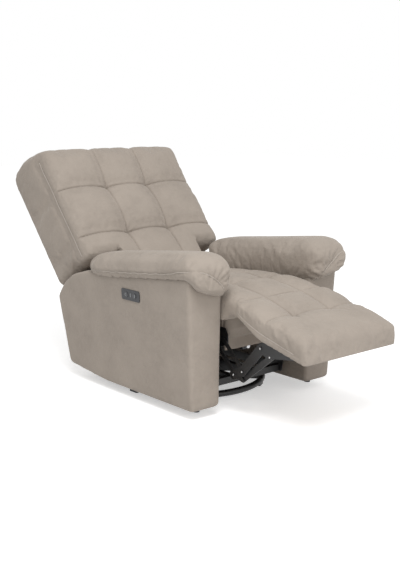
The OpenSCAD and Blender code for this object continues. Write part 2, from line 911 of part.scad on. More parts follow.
// Arms

arm_points = [
  [arm_front_y, arm_low_z], [arm_bend_y, arm_low_z], [arm_heel_y, arm_heel_z],
  [arm_rear_y, arm_rear_z], [arm_slope_y, arm_slope_z], [arm_back_y, arm_back_z],
  [arm_top_y, arm_top_z], [arm_shoulder_y, arm_shoulder_z]
];
function flare_at(z) = arm_flare * (z - arm_low_z) / (arm_shoulder_z - arm_low_z);

module arm_skin() {
  steps = 3;
  ends = [for (k = [0 : steps]) let (g = 90 * k / steps)
    [arm_edge_r * (1 - cos(g)), arm_edge_r * (1 - sin(g))]];
  skin(concat(
    [for (e = ends) [for (p = outline(arm_points, arm_corner_r, e[1], 4)) [arm_in + e[0], p[0], p[1]]]],
    [for (i = [steps : -1 : 0]) let (e = ends[i])
      [for (p = outline(arm_points, arm_corner_r, e[1], 4)) [arm_out + flare_at(p[1]) - e[0], p[0], p[1]]]]
  ));
}

module arm_box() {
  inner = outline(arm_points, arm_corner_r, arm_wall, 4);
  x = arm_in + arm_wall;
  t = arm_w - 2 * arm_wall;
  difference() {
    arm_skin();
    plate_at(x, t) polygon(inner);
    block([x, glide_front_y + 2 * glide_d, 0], [x + t, arm_bend_y - arm_wall, arm_low_z + 2 * arm_wall]);
  }
}

module left_arm() {
  color(fabric_color) on_side(1) arm_box();
}

module right_arm() {
  color(fabric_color) on_side(-1) difference() {
    arm_box();
    at_switch() plate_at(-switch_deep, switch_deep + switch_proud) square_body();
  }
}

// Arm pad, with the section rounded more on its outer side
pad_slope = (pad_front_z - pad_rear_z) / (pad_front_y - pad_rear_y);
pad_mid_h = 52;
pad_power = 3;
function rounded(v) = sign(v) * pow(abs(v), 2 / pad_power);
function pad_ring(y, k, grow) =
  let (x0 = (pad_in_x + pad_out_x) / 2, w = (pad_out_x - pad_in_x) / 2)
  let (droop = y < (pad_front_y + pad_rear_y) / 2 ? pad_droop * (1 - k) : 0)
  let (z0 = pad_rear_z + (y - pad_rear_y) * pad_slope - pad_mid_h - droop)
  [for (i = [0 : 27]) let (a = 360 * i / 28, c = cos(a), s = sin(a))
    let (low = mix(pad_in_h, pad_out_h, (1 + c) / 2) - pad_mid_h)
    let (h = s > 0 ? pad_mid_h : mix(pad_mid_h, low, k))
    [x0 + (w * mix(pad_end_share, 1, k) + grow) * rounded(c) * min(1, k + pad_end_share), y,
      z0 + (h * mix(pad_end_share, 1, k) + grow) * rounded(s) * min(1, k + pad_end_share)]];
pad_end_share = 0.7;

module pad_skin(grow) {
  tail = [for (g = [0 : 22.5 : 67.5]) [pad_rear_y + grow - pad_tail_l * (1 - cos(g)), sin(g)]];
  nose = [for (g = [67.5 : -22.5 : 0]) [pad_front_y - grow + pad_nose_l * (1 - cos(g)), sin(g)]];
  from_y = pad_rear_y - pad_tail_l;
  to_y = pad_front_y + pad_nose_l;
  skin([for (s = concat(tail, [for (k = [0 : 8]) [mix(from_y, to_y, k / 8), 1]], nose))
    pad_ring(s[0], max(s[1], pad_tip_share), grow)]);
}
pad_tip_share = 0.12;

module arm_pad() {
  difference() {
    pad_skin(0);
    arm_skin();
  }
}

module left_arm_pad() {
  color(fabric_color) on_side(1) arm_pad();
}

module right_arm_pad() {
  color(fabric_color) on_side(-1) arm_pad();
}

module arm_glides() {
  x = arm_in + arm_w / 2;
  color(plastic_color) placed() both_sides() difference() {
    for (y = [glide_front_y, glide_rear_y]) translate([x, y, glide_z])
      cylinder(h = arm_low_z + glide_z, r = glide_d / 2, $fn = bore_n);
    plate_at(arm_in, arm_w) polygon(arm_points);
  }
}

module rear_panel() {
  w = arm_in - soft_gap;
  color(fabric_color) placed()
    block([-w, panel_y - panel_t, panel_low_z], [w, panel_y, panel_top_z]);
}

module power_inlet() {
  y = rear_bar_y + rail_w / 2;
  z = rail_z + rail_h / 2;
  color(plastic_color) placed() difference() {
    block([inlet_x - inlet_w / 2, y, z - inlet_h / 2], [inlet_x + inlet_w / 2, y + inlet_l, z + inlet_h / 2]);
    translate([inlet_x, y + inlet_l + over, z]) rotate([90, 0, 0])
      cylinder(h = inlet_l / 2 + over, r = inlet_r, $fn = bore_n);
  }
}

// Switch, drawn for the left side and mirrored, in a frame that leans with the arm's face
module at_switch() {
  translate([arm_out + flare_at(switch_z), switch_y, switch_z])
    rotate([0, atan2(arm_flare, arm_shoulder_z - arm_low_z), 0]) children();
}

module square_body() {
  square([switch_body_l, switch_body_h], center = true);
}

module switch_plate() {
  color(plastic_color) on_side(-1) at_switch() difference() {
    union() {
      plate_at(0, switch_proud) round_rect(switch_l, switch_h, switch_r);
      plate_at(-switch_deep, switch_deep + over) square_body();
    }
    for (s = [-1, 1])
      plate_at(switch_proud - well_deep, well_deep + over) disc([s * button_pitch, 0], button_r + soft_gap);
  }
}

module button_shape(s) {
  on_side(-1) at_switch() plate_at(switch_proud - button_deep, button_deep + button_proud)
    disc([s * button_pitch, 0], button_r);
}

module front_button() {
  color(plastic_color) button_shape(-1);
}

module rear_button() {
  color(plastic_color) button_shape(1);
}

// Drive

module gear_housing() {
  y = gear_y - gear_l / 2;
  z = spindle_z - gear_h / 2;
  color(plastic_color) placed() {
    block([-gear_w / 2, y, z], [gear_w / 2, y + gear_l, z + gear_h]);
    block([-hanger_w / 2, box_rear_y - board_t, z + gear_h - over],
      [hanger_w / 2, box_rear_y - board_t + hanger_t, box_z]);
  }
}

module drive_motor() {
  color(steel_color) placed() translate([0, gear_y + gear_l / 2, spindle_z]) rotate([-90, 0, 0])
    cylinder(h = motor_l, r = motor_r, $fn = bore_n);
}

module spindle_tube() {
  color(zinc_color) placed() translate([0, spindle_front_y, spindle_z]) rotate([-90, 0, 0])
    cylinder(h = gear_y - gear_l / 2 - spindle_front_y, r = spindle_r, $fn = bore_n);
}

crank_p = second_p + crank_len * [-sin(crank_lean), -cos(crank_lean)];
crank_low = second_z - crank_len;
crank_high = crank_p[1];

module travelling_block() {
  slot_r = crank_pin_r + open_gap;
  top = second_z - shaft_r - layer_gap;
  low = crank_low - slot_r;
  x = crank_t / 2 + layer_gap;
  color(plastic_color) placed() difference() {
    union() {
      block([-block_w / 2, block_y - block_l / 2, spindle_z - block_h / 2],
        [block_w / 2, block_y + block_l / 2, spindle_z + block_h / 2]);
      both_sides() plate_at(x, fork_t) polygon([
        [block_y + block_l / 2, spindle_z], [block_y + block_l / 2, low],
        [crank_p[0] + 2 * slot_r, top], [crank_p[0] - slot_r - over, top],
        [crank_p[0] - slot_r - over, low - slot_r], [block_y - block_l / 2, spindle_z]
      ]);
    }
    both_sides() plate_at(x - over, fork_t + 2 * over) {
      disc([crank_p[0], crank_low], slot_r);
      translate([crank_p[0] - slot_r, crank_low]) square([2 * slot_r, top - crank_low + over]);
    }
    translate([0, block_y - block_l, spindle_z]) rotate([-90, 0, 0])
      cylinder(h = 2 * block_l, r = spindle_r + fit, $fn = bore_n);
    block([-crank_t / 2 - layer_gap, block_y - 2 * block_l, second_z - crank_len - crank_r - open_gap],
      [crank_t / 2 + layer_gap, block_y + block_l, second_z]);
  }
}

module cross_tube() {
  x = plate_x - soft_gap;
  color(steel_color) placed() difference() {
    plate_at(-x, 2 * x) disc(second_p, shaft_r);
    plate_at(-x - over, 2 * x + 2 * over) disc(second_p, pin_r);
  }
}

module drive_crank() {
  color(steel_color) placed() difference() {
    union() {
      plate_at(-crank_t / 2, crank_t) {
        bar(second_p, crank_p, 2 * crank_r);
        disc(second_p, shaft_r + crank_r / 2);
      }
      plate_at(-crank_t, 2 * crank_t) disc(crank_p, crank_pin_r);
    }
    plate_at(-crank_t, 2 * crank_t) disc(second_p, shaft_r);
  }
}

// Linkage: layer 0 holds the inner links, 1 the first and second, 2 the wide link, 3 the bracket

function layer(n) = layer_x + n * layer_pitch;

module first_link(s) {
  on_side(s) {
    plate_at(layer(1), link_t) bar(first_p, elbow_p, link_w);
    pin(first_p, plate_x, layer(1) - plate_x, pin_r);
    pin(first_p, plate_x - soft_gap - pin_head_h, pin_head_h, pin_head_r);
    pin(first_p, plate_x - soft_gap - over, soft_gap + 2 * over, pin_r);
    pin(elbow_p, layer(1), 2 * layer_pitch, pin_r);
    pin(elbow_p, layer(2) + link_t + soft_gap, pin_head_h, pin_head_r);
  }
}

module left_first_link() {
  color(steel_color) first_link(1);
}

module right_first_link() {
  color(steel_color) first_link(-1);
}

module second_link(s) {
  on_side(s) {
    plate_at(layer(1), link_t) bent_bar([second_p, cross_p, knee_p], link_w);
    pin(second_p, plate_x - board_t, layer(1) + board_t - plate_x, pin_r);
    pin(cross_p, layer(1), 2 * layer_pitch, pin_r);
    pin(cross_p, layer(2) + link_t + soft_gap, pin_head_h, pin_head_r);
    pin(knee_p, layer(0), layer_pitch, pin_r);
  }
}

module left_second_link() {
  color(steel_color) second_link(1);
}

module right_second_link() {
  color(steel_color) second_link(-1);
}

module wide_link(s) {
  on_side(s) {
    difference() {
      plate_at(layer(2), link_t) bent_bar([cross_p, elbow_p, heel_p], wide_w);
      pin(elbow_p, layer(2) - over, link_t + 2 * over, pin_r + fit);
      pin(cross_p, layer(2) - over, link_t + 2 * over, pin_r + open_gap);
    }
    pin(heel_p, layer(2), 2 * layer_pitch, pin_r);
    pin(heel_p, layer(3) + link_t + soft_gap, pin_head_h, pin_head_r);
  }
}

module left_wide_link() {
  color(steel_color) wide_link(1);
}

module right_wide_link() {
  color(steel_color) wide_link(-1);
}

module inner_link(s) {
  on_side(s) difference() {
    plate_at(layer(0), link_t) bar(knee_p, toe_p, inner_w);
    pin(knee_p, layer(0) - over, link_t + 2 * over, pin_r + fit);
    pin(toe_p, layer(0) - over, link_t + 2 * over, pin_r + open_gap);
  }
}

module left_inner_link() {
  color(steel_color) inner_link(1);
}

module right_inner_link() {
  color(steel_color) inner_link(-1);
}

// Footrest

foot_slope = (foot_bend_z - foot_front_low_z) / (foot_bend_y - foot_front_y);
function foot_low(y) = y > foot_bend_y
  ? mix(foot_bend_z, foot_rear_low_z, (y - foot_bend_y) / (foot_rear_y - foot_bend_y))
  : foot_bend_z + (y - foot_bend_y) * foot_slope;
board_rear = [foot_board_rear_y, foot_low(foot_board_rear_y)];
board_front = [foot_board_front_y, foot_low(foot_board_front_y)];

module board_shape() {
  plate_at(-foot_board_w / 2, foot_board_w) polygon([
    board_front, board_rear, board_rear + [0, foot_board_t], board_front + [0, foot_board_t]
  ]);
}

module footrest_board() {
  color(wood_color) placed() board_shape();
}

module footrest_bracket(s) {
  on_side(s) difference() {
    union() {
      plate_at(layer(3), link_t) {
        bar(heel_p, toe_p, bracket_w);
        polygon([
          heel_p + [0, -pin_r], toe_p + [0, -pin_r], [foot_board_front_y + strap_w, board_front[1]],
          board_front + [strap_w / 2, strap_w / 2 * foot_slope], board_rear, heel_p + [bracket_w / 2, 0]
        ]);
      }
      pin(toe_p, layer(0), layer(3) - layer(0) + over, pin_r);
    }
    pin(heel_p, layer(3) - over, link_t + 2 * over, pin_r + fit);
    board_cut();
  }
}

// Room above the underside of the board and the pad, so that brackets end under them
module board_cut() {
  plate_at(0, arm_out) polygon([
    [foot_front_y, foot_low(foot_front_y)], [foot_bend_y, foot_bend_z], [foot_rear_y, foot_rear_low_z],
    [foot_rear_y, foot_rear_z + strap_w], [foot_front_y, foot_rear_z + strap_w]
  ]);
}

module left_footrest_bracket() {
  color(steel_color) footrest_bracket(1);
}

module right_footrest_bracket() {
  color(steel_color) footrest_bracket(-1);
}

foot_seams_x = [-foot_w / 2, -seat_column_x, seat_column_x, foot_w / 2];
foot_rows = [foot_front_y, foot_row_y, foot_rear_y];
function foot_line(y) = y < foot_row_y
  ? mix(foot_nose_z, foot_row_z, (y - foot_front_y) / (foot_row_y - foot_front_y))
  : mix(foot_row_z, foot_rear_z, (y - foot_row_y) / (foot_rear_y - foot_row_y));
// The footrest's front panel has no columns, so they end a little in front of its row
foot_end_share = 0.35;
function foot_fade(y) = clamp((foot_row_y - y) / (foot_row_y - foot_front_y) / foot_end_share, 0, 1);
function foot_top(x, y) =
  let (rise = puff(x, y, foot_seams_x, foot_rows, foot_fade(y)))
  let (flat = foot_line(y) + foot_crown * rise - foot_crown / 2)
  flat - foot_side_drop * (1 - dome(x, foot_w / 2, seat_dome_power));

module footrest_pad() {
  w = foot_w / 2;
  xs = across(w, 20);
  color(fabric_color) placed() difference() {
    skin([for (s = stations(foot_rear_y, foot_front_y, foot_end_r, foot_end_r, 14, 3))
      let (k = 1 - s[1] / w, low = foot_low(s[0]))
      concat(
        [for (x = [-w, -w / 2, 0, w / 2, w]) [x * k, s[0], low + s[1] / 2]],
        [for (x = xs) [x * k, s[0], foot_top(x, s[0]) - s[1] * 3 / 2]]
      )
    ]);
    board_shape();
  }
}
foot_end_r = 16;

module footrest_bumpers() {
  z = foot_low(bumper_y);
  color(plastic_color) placed() both_sides() translate([bumper_x, bumper_y, z])
    rotate([atan(foot_slope), 0, 0]) translate([0, 0, -bumper_h]) cylinder(h = bumper_h, r = bumper_d / 2, $fn = bore_n);
}

// Back: drawn with Y behind the sewn points and Z up along the back from the lower sewn row

module leaned() {
  placed() translate([0, back_y, back_z]) rotate([-back_tilt, 0, 0]) children();
}

hinge_off = [hinge_y - back_y, hinge_z - back_z];
hinge_local = [
  hinge_off[0] * cos(back_tilt) - hinge_off[1] * sin(back_tilt),
  hinge_off[0] * sin(back_tilt) + hinge_off[1] * cos(back_tilt)
];
strap_x = plate_x + plate_t + layer_gap;
stile_x = strap_x + strap_t;
back_spring_pitch = 2 * strap_x / (spring_count + 1);
frame_y = strap_y - strap_w / 2;

module back_bracket(s) {
  elbow = [strap_y, -strap_low];
  if (s > 0) leaned() strap_shape(elbow);
  else leaned() mirror([1, 0, 0]) strap_shape(elbow);
}

module strap_shape(elbow) {
  plate_at(strap_x, strap_t) bent_bar([hinge_local, elbow, [strap_y, strap_top]], strap_w);
  pin(hinge_local, plate_x, strap_x - plate_x + over, hinge_r);
  pin(hinge_local, plate_x - soft_gap - over, soft_gap + 2 * over, hinge_r);
  pin(hinge_local, plate_x - soft_gap - 2 * over, 2 * over, hinge_head_r);
}

module left_back_bracket() {
  color(steel_color) back_bracket(1);
}

module right_back_bracket() {
  color(steel_color) back_bracket(-1);
}

module back_stiles() {
  color(wood_color) leaned() both_sides()
    block([stile_x, frame_y, -pocket_low], [stile_x + stile_w, frame_y + stile_t, pocket_top]);
}

module back_top_board() {
  color(wood_color) leaned()
    block([-stile_x, frame_y, pocket_top - back_board_h], [stile_x, frame_y + stile_t, pocket_top]);
}

module back_bottom_board() {
  color(wood_color) leaned()
    block([-strap_x, frame_y, -pocket_low], [strap_x, frame_y + stile_t, back_board_h - pocket_low]);
}

module back_springs() {
  from_z = back_board_h - pocket_low;
  length = pocket_top - back_board_h - from_z;
  first_x = -back_spring_pitch * (spring_count - 1) / 2;
  color(zinc_color) leaned() for (i = [0 : spring_count - 1])
    translate([first_x + i * back_spring_pitch, frame_y + wire_r, from_z]) rotate([90, 0, 0]) wavy_spring(length);
}

back_half = back_w / 2;
back_seams_x = [-back_half, -column_x, column_x, back_half];
back_rows = [-row_pitch, 0, row_pitch, back_front_top + 2 * back_edge_r];
back_dome_power = 6;
// The quilting across the back grows shallower towards its top edge
top_fade_share = 0.7;
function back_fade(z) = top_fade_share * pow(clamp((z - row_pitch) / (back_front_top - row_pitch), 0, 1), 2);
function back_face(x, z) =
  let (flat = -back_crown * puff(x, z, back_seams_x, back_rows, back_fade(z)))
  mix(back_side_y, flat, dome(x, back_half, back_dome_power));

// Side outline of the back behind its sewn points, without its front line, drawn in by the inset
back_profile = [
  [0, -back_low], [back_deep, -back_low], [back_deep, back_rear_top], [back_crest_y, back_rear_top],
  [0, back_front_top]
];
back_radii = [back_edge_r, back_edge_r, back_rear_r, back_crest_r, back_corner_r];
back_arc_steps = [2, 2, 5, 3, 4];
front_rows = [back_edge_r - back_low, 0, row_pitch, back_front_top - back_corner_r];
function back_section(inset) = concat(
  [for (i = [0 : 4]) each corner(back_profile[(i + 4) % 5], back_profile[i], back_profile[(i + 1) % 5],
    back_radii[i], inset, back_arc_steps[i])],
  [for (z = reversed(parted(front_rows, 5))) [inset, z]]
);
function back_ring(x, inset) = [for (p = back_section(inset))
  let (front = max(0, 1 - p[0] / back_crest_y), z = clamp(p[1], -back_low, back_front_top))
  [x, p[0] + back_face(x, z) * front, p[1]]];

module back_cushion() {
  slot_x = strap_x - layer_gap;
  side = [for (g = [0, 30, 60]) back_edge_r * [1 - cos(g), 1 - sin(g)]];
  columns = parted([back_edge_r - back_half, -column_x, column_x, back_half - back_edge_r], 6);
  color(fabric_color) leaned() difference() {
    skin(concat(
      [for (e = side) back_ring(e[0] - back_half, e[1])],
      [for (x = columns) back_ring(x, 0)],
      [for (e = reversed(side)) back_ring(back_half - e[0], e[1])]
    ));
    block([-pocket_w / 2, pocket_y, -pocket_low], [pocket_w / 2, back_deep + over, pocket_top]);
    both_sides() block([slot_x, frame_y - over, -back_low - over], [stile_x + layer_gap, frame_y + strap_w + over, 0]);
  }
}

lower_seams_x = [-lower_w / 2, -column_x, column_x, lower_w / 2];
lower_rows = [-lower_end - lower_crown, -back_low];

module lower_back_cushion() {
  w = lower_w / 2;
  xs = across(w, 16);
  color(fabric_color) leaned() difference() {
    skin([for (s = stations(-lower_end, -back_low - soft_gap, back_edge_r / 2, back_edge_r / 3, 8, 3))
      let (k = 1 - s[1] / w)
      concat(
        [for (x = xs) [-x * k, lower_side_y - (lower_side_y + lower_crown * puff(x, s[0], lower_seams_x, lower_rows))
          * dome(x, w, back_dome_power) + s[1], s[0]]],
        [for (x = [w, w / 2, 0, -w / 2, -w]) [x * k, lower_deep - s[1], s[0]]]
      )
    ]);
    block([-w - over, hinge_local[1], hinge_local[1]], [w + over, hinge_local[1] + over, hinge_local[1] + over]);
  }
}
lower_side_y = 8;

module back_cover() {
  x = pocket_w / 2 - soft_gap;
  color(fabric_color) leaned()
    block([-x, back_deep - cover_t, soft_gap - pocket_low], [x, back_deep, pocket_top - soft_gap]);
}

ring_tube();
rest_pads();
cross_arms();
lower_swivel_plate();
bearing_balls();
swivel_rivet();
upper_swivel_plate();
left_base_rail();
right_base_rail();
front_cross_bar();
rear_cross_bar();
left_side_plate();
right_side_plate();
arm_ties();
seat_front_board();
seat_rear_board();
left_seat_board();
right_seat_board();
seat_springs();
seat_cushion();
seat_fascia();
left_arm();
right_arm();
left_arm_pad();
right_arm_pad();
arm_glides();
rear_panel();
power_inlet();
switch_plate();
front_button();
rear_button();
gear_housing();
drive_motor();
spindle_tube();
travelling_block();
cross_tube();
drive_crank();
left_first_link();
right_first_link();
left_second_link();
right_second_link();
left_wide_link();
right_wide_link();
left_inner_link();
right_inner_link();
left_footrest_bracket();
right_footrest_bracket();
footrest_board();
footrest_pad();
footrest_bumpers();
left_back_bracket();
right_back_bracket();
back_stiles();
back_top_board();
back_bottom_board();
back_springs();
back_cushion();
lower_back_cushion();
back_cover();
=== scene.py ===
# %% [markdown]
# # A laid-back power recliner on a ring base
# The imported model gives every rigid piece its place, in metres. This lesson dresses it: the
# cushions are swollen with cloth simulation and sewn, and each metal and plastic gets its finish.

# %% Load the frame
import json
import math

import bmesh
import bpy
import numpy as np
from mathutils import Matrix, Vector
from mathutils.bvhtree import BVHTree
from mathutils.kdtree import KDTree


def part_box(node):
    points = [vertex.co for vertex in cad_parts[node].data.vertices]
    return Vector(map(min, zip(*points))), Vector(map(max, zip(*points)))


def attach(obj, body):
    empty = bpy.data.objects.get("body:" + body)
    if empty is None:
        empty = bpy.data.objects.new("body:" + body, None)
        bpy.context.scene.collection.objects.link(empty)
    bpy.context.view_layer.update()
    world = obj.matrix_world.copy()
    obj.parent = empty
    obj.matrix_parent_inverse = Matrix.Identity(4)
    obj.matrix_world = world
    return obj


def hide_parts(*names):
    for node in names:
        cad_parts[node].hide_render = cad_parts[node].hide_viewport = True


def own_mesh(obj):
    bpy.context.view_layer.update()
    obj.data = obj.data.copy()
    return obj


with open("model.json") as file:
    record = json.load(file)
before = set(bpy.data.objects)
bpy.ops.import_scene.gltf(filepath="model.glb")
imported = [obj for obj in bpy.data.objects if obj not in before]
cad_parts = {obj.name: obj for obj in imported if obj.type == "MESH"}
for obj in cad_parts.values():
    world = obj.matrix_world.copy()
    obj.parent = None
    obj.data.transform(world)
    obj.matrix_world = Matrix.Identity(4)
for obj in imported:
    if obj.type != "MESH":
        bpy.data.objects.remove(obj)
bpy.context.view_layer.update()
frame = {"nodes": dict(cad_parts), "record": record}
nodes = frame["nodes"]
scene = bpy.context.scene
# Places below are given from the swivel's axis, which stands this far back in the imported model.
AXIS_Y = 0.036
print("nodes", len(nodes), "quick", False)

# %% [markdown]
# ## The camera
# The chair was photographed from its front right, from a little above. A camera can be placed by
# eye, but here its place and lens were fitted to the ring, the arms and the footrest, so that every
# piece can be judged where it lies in the picture. The sensor's long side stands upright.

# %% Camera
CAMERA_AT = (-2.618, -3.125 + AXIS_Y, 1.210)
LOOKS_DOWN = 10.856
TURNED = -40.492
camera_data = bpy.data.cameras.new("photo_camera")
camera = bpy.data.objects.new("photo_camera", camera_data)
scene.collection.objects.link(camera)
camera.location = CAMERA_AT
camera.rotation_euler = (math.radians(90 - LOOKS_DOWN), 0, math.radians(TURNED))
camera_data.lens = 58.95
camera_data.sensor_width = 36
camera_data.clip_end = 50
scene.camera = camera
print("camera", tuple(round(v, 3) for v in camera.location))

# %% [markdown]
# ## Building materials from nodes
# A material is a small tree of nodes. Two helpers keep each tree short to write: one starts an empty
# material, the other adds a node and sets its values by name.


# %% Material helpers
def new_material(name):
    material = bpy.data.materials.new(name)
    material.use_nodes = True
    material.node_tree.nodes.clear()
    return material, material.node_tree


def add_node(tree, kind, **values):
    node = tree.nodes.new(kind)
    for key, value in values.items():
        if hasattr(node, key):
            setattr(node, key, value)
        else:
            node.inputs[key].default_value = value
    return node


print("materials at the start", len(bpy.data.materials))

# %% [markdown]
# ## A white studio
# The chair stands in a white room without corners. A white room could be lit until it clips, but
# that would bleach the fabric too. Instead the camera, metal and glass see plain white, and the
# surfaces are lit by a dimmer world, so the fabric keeps its own colour.


# %% World
def sees_white(tree):
    """1 for rays from the camera and from mirrors or glass, 0 for light on the object."""
    path = add_node(tree, "ShaderNodeLightPath")
    first = add_node(tree, "ShaderNodeMath", operation="MAXIMUM")
    second = add_node(tree, "ShaderNodeMath", operation="MAXIMUM")
    tree.links.new(path.outputs["Is Camera Ray"], first.inputs[0])
    tree.links.new(path.outputs["Is Glossy Ray"], first.inputs[1])
    tree.links.new(first.outputs[0], second.inputs[0])
    tree.links.new(path.outputs["Is Transmission Ray"], second.inputs[1])
    return second.outputs[0]


world = bpy.data.worlds.new("studio")
scene.world = world
world.use_nodes = True
tree = world.node_tree
tree.nodes.clear()
dim = add_node(tree, "ShaderNodeBackground", Color=(1, 1, 1, 1), Strength=0.66)
white = add_node(tree, "ShaderNodeBackground", Color=(1, 1, 1, 1), Strength=1.0)
blend = add_node(tree, "ShaderNodeMixShader")
out = add_node(tree, "ShaderNodeOutputWorld")
tree.links.new(sees_white(tree), blend.inputs[0])
tree.links.new(dim.outputs[0], blend.inputs[1])
tree.links.new(white.outputs[0], blend.inputs[2])
tree.links.new(blend.outputs[0], out.inputs[0])
scene.view_settings.view_transform = "Standard"
print("world", world.name)

# %% [markdown]
# ## The floor
# The floor takes the chair's soft shadow. A plain white floor renders grey away from the lamps, so
# a weak glow, which only the camera and reflections see, lifts it to the white of the background.

# %% Floor
FLOOR_HALF = 14
material, tree = new_material("studio_floor")
plain = add_node(tree, "ShaderNodeBsdfDiffuse", Color=(0.9, 0.9, 0.9, 1))
glow = add_node(tree, "ShaderNodeEmission", Color=(1, 1, 1, 1), Strength=0.46)
both = add_node(tree, "ShaderNodeAddShader")
pick = add_node(tree, "ShaderNodeMixShader")
out = add_node(tree, "ShaderNodeOutputMaterial")
tree.links.new(plain.outputs[0], both.inputs[0])
tree.links.new(glow.outputs[0], both.inputs[1])
tree.links.new(sees_white(tree), pick.inputs[0])
tree.links.new(plain.outputs[0], pick.inputs[1])
tree.links.new(both.outputs[0], pick.inputs[2])
tree.links.new(pick.outputs[0], out.inputs[0])
floor_mesh = bpy.data.meshes.new("studio_floor")
work = bmesh.new()
bmesh.ops.create_grid(work, x_segments=1, y_segments=1, size=FLOOR_HALF)
work.to_mesh(floor_mesh)
work.free()
floor = bpy.data.objects.new("studio_floor", floor_mesh)
floor_mesh.materials.append(material)
scene.collection.objects.link(floor)
print("floor", FLOOR_HALF * 2, "m across")

# %% [markdown]
# ## The lamps
# One large round lamp hangs high in front of the chair, as daylight from a tall window would come,
# and a weaker one fills in from lower down. Large lamps give shadows with soft edges.


# %% Lamps
def area_lamp(name, place, aim, size, power):
    lamp = bpy.data.lights.new(name, "AREA")
    lamp.shape = "DISK"
    lamp.size = size
    lamp.energy = power
    holder = bpy.data.objects.new(name, lamp)
    holder.location = place
    holder.rotation_euler = (Vector(aim) - Vector(place)).to_track_quat("-Z", "Y").to_euler()
    scene.collection.objects.link(holder)
    print(name, power, "W")


area_lamp("window_light", place=(-1.3, -1.7, 3.4), aim=(0, -0.1, 0.4), size=2.0, power=80)
area_lamp("front_fill", place=(-0.6, -4.2, 1.6), aim=(0, 0, 0.4), size=2.4, power=34)

# %% [markdown]
# ## Shared surface effects
# Brushed velvet, enamel and plastic each need a pattern that changes over the surface. It could be
# painted as a picture, but noise in the piece's own coordinates needs no unwrapping. Each effect is
# a node group that puts out colours, masks and normals; the shaders stay in each material.


# %% Group helpers
def new_group(name, inputs, outputs):
    group = bpy.data.node_groups.new(name, "ShaderNodeTree")
    for label, kind, value in inputs:
        socket = group.interface.new_socket(label, in_out="INPUT", socket_type=kind)
        socket.default_value = value
    for label, kind in outputs:
        group.interface.new_socket(label, in_out="OUTPUT", socket_type=kind)
    start = group.nodes.new("NodeGroupInput")
    end = group.nodes.new("NodeGroupOutput")
    print("group", name)
    return group, start, end


def noise(tree, vector, scale, detail=4.0, rough=0.55):
    node = add_node(tree, "ShaderNodeTexNoise", Scale=scale, Detail=detail, Roughness=rough)
    tree.links.new(vector, node.inputs["Vector"])
    return node.outputs["Fac"]


def ramp(tree, value, low, high, to_low=0.0, to_high=1.0):
    node = add_node(tree, "ShaderNodeMapRange")
    node.inputs["From Min"].default_value = low
    node.inputs["From Max"].default_value = high
    node.inputs["To Min"].default_value = to_low
    node.inputs["To Max"].default_value = to_high
    tree.links.new(value, node.inputs["Value"])
    return node.outputs[0]


def mix_colour(tree, fac, first, second):
    node = add_node(tree, "ShaderNodeMix", data_type="RGBA")
    for socket, value in ((0, fac), (6, first), (7, second)):
        if isinstance(value, bpy.types.NodeSocket):
            tree.links.new(value, node.inputs[socket])
        else:
            node.inputs[socket].default_value = value
    return node.outputs[2]


# %% [markdown]
# ## Velvet pile
# Velvet is a short pile that lies one way or the other where a hand has brushed it, and that changes
# its shade. Broad and fine noise pick the shade, and two bumps raise the crushed patches and fibres.

# %% Velvet pile
pile, start, end = new_group(
    "velvet_pile",
    [
        ("Colour", "NodeSocketColor", (0.3, 0.26, 0.22, 1)),
        ("Shade", "NodeSocketColor", (0.2, 0.17, 0.14, 1)),
    ],
    [
        ("Colour", "NodeSocketColor"),
        ("Roughness", "NodeSocketFloat"),
        ("Normal", "NodeSocketVector"),
    ],
)
where = add_node(pile, "ShaderNodeTexCoord").outputs["Object"]
broad = ramp(pile, noise(pile, where, scale=7.0, detail=3.0), 0.38, 0.66)
brushed = ramp(pile, noise(pile, where, scale=38.0, detail=4.0, rough=0.6), 0.35, 0.7)
fine = noise(pile, where, scale=900.0, detail=2.0)
fibre = noise(pile, where, scale=2600.0, detail=2.0)
swept = mix_colour(pile, broad, start.outputs["Shade"], start.outputs["Colour"])
speckle = ramp(pile, fine, 0.3, 0.7, 0.0, 0.25)
lighter = mix_colour(pile, speckle, start.outputs["Colour"], start.outputs["Shade"])
colour = mix_colour(pile, ramp(pile, brushed, 0, 1, 0.35, 0.85), swept, lighter)
pile.links.new(colour, end.inputs["Colour"])
pile.links.new(ramp(pile, brushed, 0, 1, 0.78, 0.95), end.inputs["Roughness"])
bump = add_node(pile, "ShaderNodeBump", Strength=0.25, Distance=0.0012)
pile.links.new(fibre, bump.inputs["Height"])
crush = add_node(pile, "ShaderNodeBump", Strength=0.35, Distance=0.004)
pile.links.new(brushed, crush.inputs["Height"])
pile.links.new(bump.outputs[0], crush.inputs["Normal"])
pile.links.new(crush.outputs[0], end.inputs["Normal"])
print("pile has", len(pile.nodes), "nodes")

# %% [markdown]
# ## Handled surfaces
# Enamel, zinc and moulded plastic differ in colour and grain, but all are a little uneven in shade
# and gloss. One group makes that for all of them, with the grain, its depth and the gloss as inputs.

# %% Handled surface
wear, start, end = new_group(
    "handled_surface",
    [
        ("Grain", "NodeSocketFloat", 220.0),
        ("Depth", "NodeSocketFloat", 0.0004),
        ("Rough", "NodeSocketFloat", 0.4),
    ],
    [
        ("Mask", "NodeSocketFloat"),
        ("Roughness", "NodeSocketFloat"),
        ("Normal", "NodeSocketVector"),
    ],
)
where = add_node(wear, "ShaderNodeTexCoord").outputs["Object"]
grain = add_node(wear, "ShaderNodeTexNoise", Detail=3.0)
wear.links.new(where, grain.inputs["Vector"])
wear.links.new(start.outputs["Grain"], grain.inputs["Scale"])
cloudy = noise(wear, where, scale=14.0, detail=5.0)
wear.links.new(ramp(wear, cloudy, 0.4, 0.7), end.inputs["Mask"])
rough = add_node(wear, "ShaderNodeMath", operation="MULTIPLY_ADD")
wear.links.new(ramp(wear, cloudy, 0.3, 0.7, -0.08, 0.1), rough.inputs[0])
rough.inputs[1].default_value = 1.0
